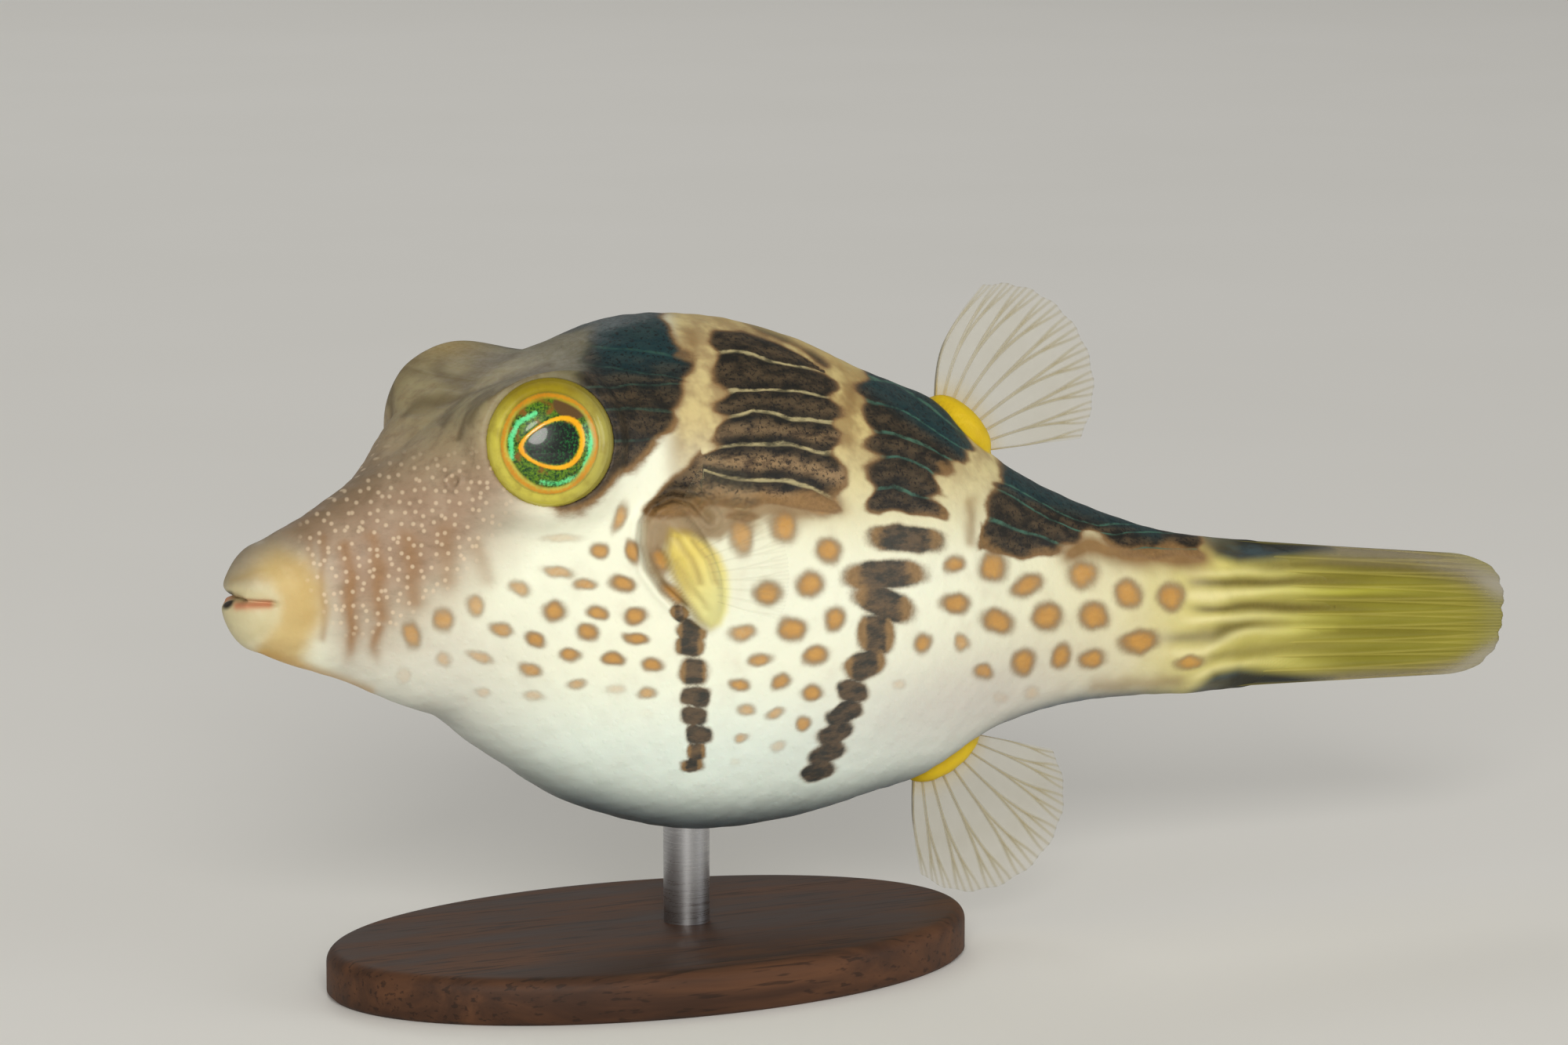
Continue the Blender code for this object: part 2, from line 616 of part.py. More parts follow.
def main():
    clear_scene()
    materials = {name: make_material(name) for name in COLOURS}
    fish = fish_matrix()

    pieces = [
        (make_head(), "skin"),
        (make_torso(), "skin"),
        (loft("tail", body_stations(TORSO_END + GAP, BODY_END, 2.4)), "tail"),
        (make_tail_fin(), "tail_fin"),
        (make_median_fin("dorsal_fin", DORSAL_ROOT, DORSAL_PIVOT, DORSAL_ANGLES), "fin"),
        (make_median_fin("anal_fin", ANAL_ROOT, ANAL_PIVOT, ANAL_ANGLES), "fin"),
        (make_rod(fish.inverted()), "stand_rod"),
    ]
    for side, word in ((-1, "left"), (1, "right")):
        pieces.append((eye(f"eye_{word}", side), "eye"))
        pieces.append((make_pectoral_fin(f"pectoral_fin_{word}", side), "fin"))

    collection = bpy.data.collections.new("black_saddled_toby")
    bpy.context.scene.collection.children.link(collection)
    middle = bpy.data.objects.new("middle_of_the_model", None)
    collection.objects.link(middle)
    for obj, material in pieces:
        finish_piece(obj, middle, collection, materials[material], fish)
    base_place = fish @ Vector((BASE_CENTRE_X, 0.0, 0.0))
    base_matrix = Matrix.Translation((base_place.x, 0.0, BASE_THICKNESS / 2))
    finish_piece(make_base(), middle, collection, materials["stand_base"], base_matrix)

    nodes = [obj for obj in collection.objects if obj.type == "MESH"]
    ends = [obj.location.x + v.co.x for obj in nodes for v in obj.data.vertices]
    middle.location.x = -(min(ends) + max(ends)) / 2


main()
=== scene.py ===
"""The black-saddled toby in full detail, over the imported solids, with its stand, floor, lights and camera.

Shapes are made in the fish's own frame, in millimetres, as in part.py: x from the lips (0) to the tail fin's
end (95), y to its right side, z up. Marks are laid out in photo pixels (2000 x 1333), seen from the photo's
camera: each point of the left side takes the marks at its pixel, and the right side mirrors the left.
"""

import math

import bmesh
import bpy
import numpy as np
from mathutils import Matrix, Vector


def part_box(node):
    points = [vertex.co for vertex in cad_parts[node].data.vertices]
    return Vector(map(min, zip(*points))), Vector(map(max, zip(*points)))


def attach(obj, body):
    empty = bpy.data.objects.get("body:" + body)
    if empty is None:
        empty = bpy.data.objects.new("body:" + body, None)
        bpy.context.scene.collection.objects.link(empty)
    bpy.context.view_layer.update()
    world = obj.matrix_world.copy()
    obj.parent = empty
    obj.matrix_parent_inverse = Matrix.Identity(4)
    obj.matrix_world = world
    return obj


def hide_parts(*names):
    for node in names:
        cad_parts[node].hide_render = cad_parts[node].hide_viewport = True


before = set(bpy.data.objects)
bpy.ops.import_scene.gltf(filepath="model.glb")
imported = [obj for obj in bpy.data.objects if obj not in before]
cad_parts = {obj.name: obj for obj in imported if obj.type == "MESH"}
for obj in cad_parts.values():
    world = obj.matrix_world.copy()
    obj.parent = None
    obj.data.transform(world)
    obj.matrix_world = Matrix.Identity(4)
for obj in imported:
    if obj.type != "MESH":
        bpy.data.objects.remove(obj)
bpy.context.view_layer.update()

MM = 0.001
TOTAL_LENGTH = 95.0
PITCH = math.radians(4.7)
AXIS_HEIGHT = 22.6

BACK_LINE = (
    (0, 0.3), (1, 2.6), (2.7, 4), (5.8, 5.8), (9.3, 8.2), (12, 10.3), (15, 12.9), (18, 15), (21.2, 16.7),
    (25.4, 18.4), (30, 18.8), (35, 18.3), (38, 17.6), (42.6, 15.8), (46.5, 14.5), (49.1, 13.5), (51, 11.9),
    (53, 10.4), (55.4, 9), (58.5, 7.6), (62.2, 6.3), (66, 5.3), (71, 4.6), (76.5, 4), (79, 3), (81.5, 1.2),
)
BELLY_LINE = (
    (0, 0.3), (1, -1.9), (2.4, -3), (4.8, -3.9), (8.6, -5), (13, -6.6), (15.3, -7.4), (17.5, -8.9),
    (19.8, -10.3), (24.4, -12.7), (29, -14.1), (34.7, -14.5), (40.3, -13.8), (46, -12.4), (49.4, -11.4),
    (51.7, -10.1), (54, -8.7), (56.8, -7.6), (60.3, -6.7), (66, -6.1), (71, -5.9), (76.5, -5.2), (79, -4.2),
    (81.5, -2.6),
)
HALF_WIDTH = (
    (0, 0), (1, 1.6), (2.7, 2.45), (5.8, 3.2), (9.3, 4.2), (13, 5.8), (18, 7.8), (22, 8.5), (26, 9.1),
    (31, 9.6), (37, 9.6), (43, 8.7), (49, 7), (54, 5.4), (60, 4), (66, 3), (71, 2.1), (74, 1.05),
    (76.5, 0.45), (79, 0.2), (81.5, 0.05),
)
WIDEST_HEIGHT = (
    (0, 0.3), (6, 1), (12, 4.2), (18, 7.6), (25, 4.6), (35, 1.6), (45, 0.8), (55, 0.3), (71, -0.4),
    (76.5, -0.5), (81.5, -0.6),
)
UPPER_POWER = ((0, 2), (9, 2.1), (18, 2.7), (25, 2.1), (32, 1.85), (45, 1.8), (60, 1.9), (76.5, 2), (81.5, 2))
LOWER_POWER = ((0, 2), (15, 2.1), (30, 2.25), (45, 2.05), (60, 1.95), (76.5, 2), (81.5, 2))
SKIN_START, SKIN_END = 0.004, 81.4

EYE_CENTRE = (17.9, 7.6, 11.3)
EYE_RADIUS, EYE_DEPTH = 4.24, 2.65
EYE_BACK_TILT = 2.1
EYE_PIXEL, PUPIL_PIXEL, PUPIL_HALF = (700, 566), (703, 567), (34, 26)
RIM_HEIGHT = 0.86
EYE_TURNED_FORWARD, EYE_TURNED_UP = math.radians(14.0), math.radians(8.0)
ORBIT_X, ORBIT_HEIGHT, ORBIT_RISE = 16.8, 12.2, 2.1
ORBIT_REACH_X, ORBIT_REACH_AROUND, ORBIT_STEEPNESS = 6.2, 5.4, 3.6
CROWN_DIP_X, CROWN_DIP = 20.5, 0.5
MOUTH_HEIGHT = 0.3
LIP_X, LIP_LENGTH, LIP_RISE = 1.3, 1.0, 0.4
NOSTRIL_X, NOSTRIL_Z = 12.4, 8.6

FAN_FINS = {
    "dorsal_fin": {
        "root": ((49.3, 13.3), (53.0, 10.2)), "pivot": (51.2, 12.3), "angles": (83.0, -7.0),
        "lengths": (8.9, 1.5), "bow": 1.1,
    },
    "anal_fin": {
        "root": ((49.8, -11.2), (53.9, -8.6)), "pivot": (52.0, -10.3), "angles": (-97.0, 5.0),
        "lengths": (7.8, 2.6), "bow": 0.3,
    },
}
FAN_RAYS, FAN_WAVE = 9, 0.7
RAY_FORKS = (0.35, 0.68)
PAD_HALF = (0.5, 1.35, 1.4)
TAIL_RAYS, TAIL_FIN_START, TAIL_CORNER_X = 11, 71.5, 88.3
TAIL_ROOT_TOP, TAIL_ROOT_BOTTOM = 4.5, -5.6
TAIL_TIP_MIDDLE, TAIL_TIP_HALF = -0.55, 4.25
PECTORAL_RAYS = 14
PECTORAL_TOP, PECTORAL_BOTTOM = (25.7, 7.6), (29.5, 0.4)
PECTORAL_LOBE_HALF = (4.3, 1.75, 1.8)
PECTORAL_LENGTH, PECTORAL_FAN = 9.0, math.radians(27.0)
PECTORAL_OUT = (0.12, 0.9, 0.36)

ROD_X, ROD_END_RISE = 33.0, 4.0
# In metres: how far the rod runs on into the base and the belly, the roundings of the base, and the room
ROD_INTO_BASE, ROD_INTO_BELLY = 0.0004, 0.0006
BASE_EDGE, BASE_LOW_EDGE = 0.0009, 0.0003
LIT_POINT = (0, 0, 0.025)
FLOOR_RADIUS, FLOOR_CORNERS = 4, 64

# The photo's camera looks along a line that meets the picture at AXIS_PIXEL, aside from its middle
PHOTO_SIZE = (2000, 1333)
SENSOR_WIDTH = 36.0
CAMERA_AZIMUTH, CAMERA_ELEVATION = math.radians(-28.0), math.radians(10.0)
CAMERA_DISTANCE = 0.42
FOCAL_PIXELS = 8175.6
AXIS_PIXEL = (1142.84, 770.46)


def smooth_step(value, low, high):
    t = np.clip((value - low) / (high - low), 0.0, 1.0)
    return t * t * (3 - 2 * t)


def smooth_max(a, b, width):
    """The larger of a and b, rounded over where they are within about width of each other."""
    h = np.clip(0.5 + (a - b) / (2 * width), 0.0, 1.0)
    return b + (a - b) * h + width * h * (1 - h)


def bell(value, width):
    return np.exp(-((value / width) ** 2))


def ripple(points, size, seed, waves=22):
    """Smooth random values, mostly between -1 and 1, that change over about size."""
    draw = np.random.default_rng(seed)
    directions = draw.normal(size=(waves, points.shape[-1])) * 2.2 / size
    phases = draw.uniform(0, 2 * math.pi, waves)
    total = np.zeros(points.shape[:-1])
    for direction, phase in zip(directions, phases):
        total += np.sin(points @ direction + phase)
    return total / math.sqrt(waves)


def line_through(points):
    """A smooth function of x through (x, value) points, interpolated over sqrt(x) to make the nose blunt."""
    knots = np.sqrt([x for x, _ in points])
    values = np.array([value for _, value in points])
    slopes = np.gradient(values, knots)

    def value_at(x):
        q = np.sqrt(np.clip(x, 0.0, None))
        i = np.clip(np.searchsorted(knots, q) - 1, 0, len(knots) - 2)
        span = knots[i + 1] - knots[i]
        t = (q - knots[i]) / span
        return (
            values[i] * (1 + 2 * t) * (1 - t) ** 2
            + values[i + 1] * t * t * (3 - 2 * t)
            + span * (slopes[i] * t * (1 - t) ** 2 - slopes[i + 1] * t * t * (1 - t))
        )

    return value_at


back_at = line_through(BACK_LINE)
belly_at = line_through(BELLY_LINE)
half_width_at = line_through(HALF_WIDTH)
middle_at = line_through(WIDEST_HEIGHT)
upper_power_at = line_through(UPPER_POWER)
lower_power_at = line_through(LOWER_POWER)


def pitched(points):
    """Points of the fish's frame as metres of the scene, before the shift along X to the rod."""
    points = np.asarray(points, float)
    x = points[..., 0] - TOTAL_LENGTH / 2
    c, s = math.cos(PITCH), math.sin(PITCH)
    z = points[..., 2]
    return np.stack([x * c + z * s, points[..., 1], AXIS_HEIGHT - x * s + z * c], -1) * MM


ROD_BOX = np.array(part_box("stand_rod"))
SHIFT = np.zeros(3)
SHIFT[0] = ROD_BOX[:, 0].mean() - pitched((ROD_X, 0, belly_at(ROD_X) + ROD_END_RISE))[0]


def to_scene(points):
    return pitched(points) + SHIFT


CAMERA_BACK = np.array([
    math.sin(CAMERA_AZIMUTH) * math.cos(CAMERA_ELEVATION),
    -math.cos(CAMERA_AZIMUTH) * math.cos(CAMERA_ELEVATION),
    math.sin(CAMERA_ELEVATION),
])
CAMERA_RIGHT = np.array([math.cos(CAMERA_AZIMUTH), math.sin(CAMERA_AZIMUTH), 0.0])
CAMERA_UP = np.cross(CAMERA_BACK, CAMERA_RIGHT)
CAMERA_PLACE = to_scene((TOTAL_LENGTH / 2, 0.0, 0.0)) + CAMERA_BACK * CAMERA_DISTANCE


def photo_pixels(points):
    """Where the photo's camera sees points of the fish's frame. Those of the right side are mirrored."""
    left = np.array(points, float)
    left[..., 1] = -np.abs(left[..., 1])
    ray = to_scene(left) - CAMERA_PLACE
    depth = -(ray @ CAMERA_BACK)
    across = AXIS_PIXEL[0] + FOCAL_PIXELS * (ray @ CAMERA_RIGHT) / depth
    down = AXIS_PIXEL[1] - FOCAL_PIXELS * (ray @ CAMERA_UP) / depth
    return np.stack([across, down], -1)


def skin_radius(x, angle):
    """Distance from the middle of the section at x to the skin. Angle 0 is up, and the right is positive."""
    across, rise = np.abs(np.sin(angle)), np.cos(angle)
    middle = middle_at(x)
    reach = np.where(rise >= 0, back_at(x) - middle, middle - belly_at(x))
    power = np.where(rise >= 0, upper_power_at(x), lower_power_at(x))
    plain = ((across / half_width_at(x)) ** power + (np.abs(rise) / reach) ** power) ** (-1 / power)
    orbit_angle = np.arctan2(EYE_CENTRE[1], ORBIT_HEIGHT - middle)
    ahead = (x - ORBIT_X) / ORBIT_REACH_X
    around = (np.abs(angle) - orbit_angle) * (plain + ORBIT_RISE) / ORBIT_REACH_AROUND
    orbit = ORBIT_RISE * np.exp(-(np.hypot(ahead, around) ** ORBIT_STEEPNESS))
    dip = CROWN_DIP * bell(x - CROWN_DIP_X, 3.2) * bell(angle, 0.5)
    off_mouth = middle + plain * rise - MOUTH_HEIGHT
    lips = LIP_RISE * bell(x - LIP_X, LIP_LENGTH) * (1 - 0.6 * bell(off_mouth, 0.5))
    return plain + orbit + lips - dip


def skin_point(x, angle):
    radius = skin_radius(x, angle)
    return np.stack([x + 0 * radius, radius * np.sin(angle), middle_at(x) + radius * np.cos(angle)], -1)


def side_point(x, z, side):
    """The point of the flank at x and height z: side is -1 for the left and 1 for the right."""
    low, high = 0.02, math.pi - 0.02
    for _ in range(40):
        angle = (low + high) / 2
        if skin_point(x, angle)[2] > z:
            low = angle
        else:
            high = angle
    return Vector(skin_point(x, side * (low + high) / 2))


def eye_frame(side):
    """The eye's centre and its own three axes as rows. The last is the way it looks."""
    out = Vector((
        -math.sin(EYE_TURNED_FORWARD),
        side * math.cos(EYE_TURNED_FORWARD) * math.cos(EYE_TURNED_UP),
        math.sin(EYE_TURNED_UP),
    ))
    return np.array(EYE_CENTRE) * (1, side, 1), np.array(out.to_track_quat("Z", "Y").to_matrix()).T


# Meshes


def add_object(name, data):
    thing = bpy.data.objects.new(name, data)
    bpy.context.scene.collection.objects.link(thing)
    return thing


def make_piece(name, places, faces, material, replaced, marks=None, sharp_angle=None):
    """One piece of the model, at places of the scene in metres. marks has a value for each place by name."""
    mesh = bpy.data.meshes.new(name)
    mesh.from_pydata(places.tolist(), [], [tuple(face) for face in faces])
    for mark, values in (marks or {}).items():
        values = np.asarray(values, np.float32)
        kind, field = ("FLOAT", "value") if values.ndim == 1 else ("FLOAT_VECTOR", "vector")
        mesh.attributes.new(mark, kind, "POINT").data.foreach_set(field, values.ravel())
    shape = bmesh.new()
    shape.from_mesh(mesh)
    bmesh.ops.recalc_face_normals(shape, faces=shape.faces)
    shape.to_mesh(mesh)
    shape.free()
    mesh.shade_smooth()
    if sharp_angle:
        mesh.set_sharp_from_angle(angle=sharp_angle)
    mesh.materials.append(material)
    piece = add_object(name, mesh)
    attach(piece, "root")
    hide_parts(*replaced)


def tube_faces(rows, columns):
    """Faces of a closed tube of rows rings. The points of its first and last end come after the rings."""
    ring = np.arange(rows - 1)[:, None] * columns
    a, b = ring + np.arange(columns), ring + (np.arange(columns) + 1) % columns
    faces = np.stack([a, a + columns, b + columns, b], -1).reshape(-1, 4).tolist()
    first, last, last_ring = rows * columns, rows * columns + 1, (rows - 1) * columns
    for i in range(columns):
        j = (i + 1) % columns
        faces += [(first, i, j), (last, last_ring + j, last_ring + i)]
    return faces


def plate_faces(rows, columns):
    """Faces of a thin closed plate whose two sides are grids of rows by columns points, one after another."""
    far = rows * columns
    a = (np.arange(rows - 1)[:, None] * columns + np.arange(columns - 1)).ravel()
    near_side = np.stack([a, a + columns, a + columns + 1, a + 1], -1)
    faces = near_side.tolist() + (near_side[:, ::-1] + far).tolist()
    edge = list(range(columns)) + [r * columns + columns - 1 for r in range(1, rows)]
    edge += [(rows - 1) * columns + c for c in range(columns - 2, -1, -1)]
    edge += [r * columns for r in range(rows - 2, 0, -1)]
    return faces + [(i, j, far + j, far + i) for i, j in zip(edge, edge[1:] + edge[:1])]


# Marks, in photo pixels


def line_distance(at, points):
    best = np.full(len(at), 1e9)
    for start, end in zip(points, points[1:]):
        start, along = np.array(start, float), np.array(end, float) - np.array(start, float)
        share = np.clip((at - start) @ along / (along @ along), 0.0, 1.0)
        best = np.minimum(best, np.linalg.norm(at - start - share[:, None] * along, axis=1))
    return best


def depth_inside(at, corners):
    """Distance to the outline of a patch, positive inside it."""
    loop = list(corners) + [corners[0]]
    inside = np.zeros(len(at), bool)
    for (x0, y0), (x1, y1) in zip(loop, loop[1:]):
        crosses = (y0 > at[:, 1]) != (y1 > at[:, 1])
        inside ^= crosses & (at[:, 0] < (x1 - x0) * (at[:, 1] - y0) / (y1 - y0 + 1e-9) + x0)
    return np.where(inside, 1.0, -1.0) * line_distance(at, loop)


def oval(at, centre, half, lean=0.0, power=2.0):
    """Distance from the centre of an oval as a share of its size there: 1 on its edge. A lean above 0 is
    clockwise in the photo, and a power above 2 makes it boxier."""
    c, s = math.cos(math.radians(lean)), math.sin(math.radians(lean))
    off = at - np.array(centre, float)
    along = np.abs(off[:, 0] * c + off[:, 1] * s) / half[0]
    across = np.abs(off[:, 1] * c - off[:, 0] * s) / half[1]
    return (along**power + across**power) ** (1 / power)


def patch_mark(at, corners, low, high):
    """Goes from 0 to 1 as the depth inside a patch goes from low to high."""
    return smooth_step(depth_inside(at, corners), low, high)


def line_mark(at, line, width):
    return bell(line_distance(at, line), width)


def lines_mark(at, lines):
    """The strongest at each point of many lines. Each is (line, half width, strength), and may end with the
    places across where it starts, is full, begins to fade and ends."""
    mark = np.zeros(len(at))
    for line, width, strength, *fades in lines:
        drawn = strength * line_mark(at, line, width)
        for start, full, fading, end in fades:
            drawn *= smooth_step(at[:, 0], start, full) * smooth_step(at[:, 0], end, fading)
        mark = np.maximum(mark, drawn)
    return mark


# (across, down, half length, half height, strength, lean if any) of each round spot of the flank
SPOTS = (
    (765, 703, 14, 12, 0.9), (806, 704, 9, 18, 0.95, -15), (789, 661, 9, 23, 0.8, 20), (715, 688, 30, 7, 0.4),
    (712, 730, 24, 9, 0.7, 10), (747, 745, 16, 9, 0.8), (794, 745, 18, 12, 1, 8), (663, 752, 16, 11, 0.7, 25),
    (708, 780, 17, 15, 0.95), (763, 782, 15, 11, 0.95, 6), (811, 785, 17, 11, 1),
    (606, 775, 13, 16, 0.7, -15), (567, 793, 15, 18, 0.75, -15), (525, 810, 13, 20, 0.75),
    (640, 805, 17, 10, 0.8, 15), (683, 817, 16, 10, 0.95, 15), (750, 808, 16, 11, 0.95, 10),
    (812, 814, 17, 9, 1, 8), (613, 840, 20, 8, 0.6, 20), (565, 842, 12, 11, 0.5), (728, 837, 16, 9, 0.9, 10),
    (782, 841, 16, 10, 1), (832, 849, 16, 10, 0.95), (675, 855, 16, 9, 0.8, 12), (735, 875, 15, 8, 0.7),
    (785, 880, 14, 8, 0.4), (825, 884, 14, 8, 0.75), (617, 883, 14, 7, 0.4, 8), (682, 888, 16, 7, 0.5, 8),
    (515, 863, 10, 11, 0.3), (825, 912, 12, 7, 0.16), (947, 684, 17, 27, 0.8), (1000, 671, 20, 24, 0.85, -8),
    (1048, 643, 25, 19, 0.85), (1057, 702, 18, 18, 0.95), (980, 757, 19, 19, 0.95), (1034, 745, 20, 18, 0.95),
    (947, 808, 20, 12, 0.8, -8), (1010, 803, 20, 17, 0.95, -15), (1065, 789, 16, 17, 0.95),
    (970, 841, 17, 10, 0.85, -8), (1042, 836, 18, 14, 0.95, -15), (943, 873, 14, 10, 0.9),
    (997, 870, 15, 11, 0.9, -10), (1037, 883, 15, 11, 0.95, -12), (952, 905, 13, 8, 0.7),
    (990, 910, 14, 8, 0.7, -10), (1025, 923, 11, 10, 0.85, -30), (946, 941, 12, 6, 0.65),
    (993, 952, 13, 7, 0.45, -15), (939, 972, 8, 6, 0.25), (1217, 720, 15, 14, 0.9, -20),
    (1267, 722, 20, 22, 0.95), (1218, 769, 21, 15, 1), (1273, 792, 24, 18, 1, 20),
    (1177, 819, 13, 16, 0.9, 15), (1227, 820, 11, 13, 0.75), (1147, 872, 10, 9, 0.35),
    (1310, 746, 24, 16, 1, -25), (1336, 786, 21, 20, 1, -20), (1381, 731, 23, 20, 0.9, -25),
    (1395, 784, 22, 20, 1), (1439, 756, 19, 21, 0.95, -30), (1493, 760, 18, 20, 0.95),
    (1305, 844, 16, 18, 0.95, 20), (1255, 855, 14, 12, 0.85), (1354, 836, 15, 18, 0.95, 15),
    (1394, 839, 18, 14, 0.95, -20), (1452, 817, 27, 16, 1, -8), (1517, 843, 20, 10, 0.85, -12),
    (1276, 888, 12, 9, 0.25), (1317, 882, 13, 10, 0.35), (843, 716, 12, 20, 0.9, -20),
    (860, 758, 24, 9, 0.8, 38),
)
# (line, half width, strength) of each brown bar that runs down out of the snout's taupe
SNOUT_BARS = (
    (((395, 690), (397, 735)), 6, 0.4), (((413, 690), (408, 735), (414, 780), (410, 815)), 6, 0.6),
    (((440, 700), (449, 740), (445, 772), (452, 805), (442, 845)), 9, 1),
    (((474, 690), (484, 730), (480, 762), (487, 792)), 10, 0.9),
    (((484, 804), (477, 826), (480, 850)), 8, 0.95), (((520, 690), (526, 730), (528, 768)), 13, 0.8),
    (((568, 680), (572, 740)), 13, 0.6), (((608, 700), (622, 738)), 11, 0.45),
)
# (across, down, half length, half height, lean, darkness) of the lumps of the two dark bars
BAR_LUMPS = (
    (867, 782, 13, 10, 38, 0.55), (882, 806, 19, 15, 30, 0.85), (880, 825, 20, 13, 0, 0.75),
    (886, 856, 20, 18, 5, 0.85), (888, 889, 20, 14, 5, 0.95), (887, 914, 18, 12, 0, 0.95),
    (892, 937, 18, 13, 5, 0.95), (889, 959, 13, 12, 0, 0.7), (883, 977, 15, 9, -8, 0.65),
    (1156, 687, 50, 18, 3, 0.9), (1128, 733, 54, 19, -3, 0.85), (1127, 768, 42, 20, 22, 0.75),
    (1118, 808, 24, 27, 0, 0.7), (1104, 848, 29, 18, -25, 0.8), (1088, 882, 20, 15, -5, 0.95),
    (1077, 910, 25, 13, -22, 0.95), (1066, 935, 26, 13, -24, 1), (1056, 960, 26, 13, -25, 1),
    (1044, 983, 24, 12, -25, 1),
)
FIRST_SADDLE = (
    (775, 360), (835, 360), (846, 402), (858, 424), (866, 444), (890, 462), (876, 482), (870, 506),
    (864, 530), (852, 552), (833, 576), (812, 594), (790, 612), (766, 632), (740, 652), (712, 655),
    (700, 640), (728, 600), (745, 560), (745, 520), (738, 490), (744, 460), (752, 420),
)
SECOND_SADDLE = (
    (908, 414), (950, 411), (1000, 426), (1035, 448), (1054, 470), (1066, 494), (1072, 520), (1074, 555),
    (1076, 590), (1074, 620), (1070, 650), (1040, 656), (1010, 650), (985, 648), (950, 662), (915, 652),
    (880, 648), (842, 660), (826, 654), (842, 626), (866, 604), (892, 582), (912, 556), (918, 530),
    (914, 505), (912, 480), (906, 450),
)
THIRD_SADDLE = (
    (1097, 440), (1190, 460), (1243, 540), (1238, 580), (1220, 598), (1200, 612), (1194, 630), (1204, 644),
    (1202, 656), (1180, 662), (1150, 656), (1122, 660), (1106, 648), (1108, 600), (1104, 560), (1100, 520),
    (1098, 492),
)
FOURTH_SADDLE = (
    (1268, 560), (1350, 590), (1450, 640), (1530, 655), (1536, 706), (1490, 711), (1440, 707), (1412, 697),
    (1394, 686), (1380, 686), (1366, 698), (1338, 710), (1300, 710), (1266, 706), (1246, 700), (1242, 684),
    (1254, 665), (1262, 640), (1266, 620), (1276, 600),
)
# Each saddle with how far its edge draws in at each thin line
SADDLES = ((FIRST_SADDLE, 5), (SECOND_SADDLE, 13), (THIRD_SADDLE, 11), (FOURTH_SADDLE, 5))
# The thin lines across each saddle, from the back down, with the places across that they hold between
SADDLE_LINES = (
    (0, 895, (
        ((740, 440), (800, 446), (870, 456)), ((740, 468), (800, 472), (870, 486)),
        ((740, 494), (800, 490), (868, 490)), ((745, 524), (800, 521), (866, 526)),
        ((745, 560), (800, 562), (850, 560)),
    )),
    (895, 1086, (
        ((900, 412), (945, 420), (985, 434), (1030, 460), (1086, 492)),
        ((900, 452), (940, 449), (962, 455), (1000, 466), (1086, 478)),
        ((905, 502), (940, 496), (985, 497), (1020, 500), (1060, 508), (1086, 512)),
        ((905, 538), (935, 527), (960, 522), (985, 527), (1010, 536), (1040, 536), (1086, 541)),
        ((900, 574), (940, 566), (975, 565), (1010, 569), (1040, 574), (1086, 578)),
        ((895, 597), (915, 605), (940, 610), (965, 614), (1000, 617), (1035, 622), (1065, 638), (1086, 648)),
        ((895, 650), (940, 652), (990, 650), (1040, 664), (1086, 668)),
    )),
    (1086, 1252, (
        ((1100, 480), (1140, 491), (1184, 519), (1215, 545), (1250, 570)),
        ((1100, 508), (1146, 520), (1168, 531), (1201, 556), (1240, 582)),
        ((1100, 547), (1140, 553), (1179, 569), (1223, 592), (1240, 612)),
        ((1100, 580), (1146, 583), (1184, 599), (1206, 619), (1230, 640)),
        ((1100, 628), (1140, 620), (1162, 632), (1195, 637), (1230, 656)),
        ((1086, 671), (1140, 663), (1168, 665), (1210, 676)),
        ((1086, 712), (1130, 708), (1180, 711), (1215, 716)),
    )),
    (1252, 2000, (
        ((1262, 606), (1299, 624), (1345, 650), (1400, 668)),
        ((1262, 618), (1299, 636), (1321, 651), (1338, 662), (1371, 671), (1420, 678)),
        ((1255, 660), (1283, 669), (1305, 679), (1330, 684), (1380, 700)),
        ((1255, 712), (1300, 716), (1340, 718)),
    )),
)
# In photo pixels: a row past a saddle's outermost lines, the reach of spots and lumps, the plane's unit
LINE_SPACING, SPOT_REACH, LUMP_REACH, PLANE_UNIT = 28, 90, 120, 20
FIRST_SADDLE_FRINGE = ((868, 524), (852, 552), (828, 580), (800, 606), (768, 634), (730, 656))
SADDLE_LOW_EDGES = (
    (((1112, 652), (1160, 662), (1212, 660)), 9, 0.7), (((975, 644), (1020, 650), (1072, 636)), 22, 1),
    (((1244, 690), (1300, 712), (1356, 702)), 13, 0.7), (((840, 658), (900, 640), (960, 650)), 22, 0.8),
    (((1240, 660), (1246, 690)), 12, 0.9), (((1384, 694), (1440, 704), (1540, 704)), 13, 0.9),
    (((1210, 600), (1200, 655)), 12, 0.8),
)
REAR_STRIP = ((1095, 455), (1100, 492), (1225, 580), (1300, 632), (1480, 686), (1480, 640), (1300, 560))
RIDGE_BAND = ((862, 398), (905, 400), (960, 410), (1010, 428), (1060, 453), (1092, 471))
TAUPE_PATCH = (
    (240, 700), (300, 600), (440, 500), (470, 360), (700, 320), (820, 340), (820, 470), (780, 530),
    (735, 585), (690, 612), (645, 658), (606, 708), (570, 748), (530, 780), (490, 804), (450, 808),
    (415, 778), (380, 714), (335, 700), (290, 722),
)
OCHRE_PATCH = (
    (298, 742), (322, 722), (352, 710), (384, 718), (404, 745), (406, 800), (384, 846), (345, 844),
    (316, 834), (338, 815), (352, 795), (354, 765), (342, 748), (320, 740),
)
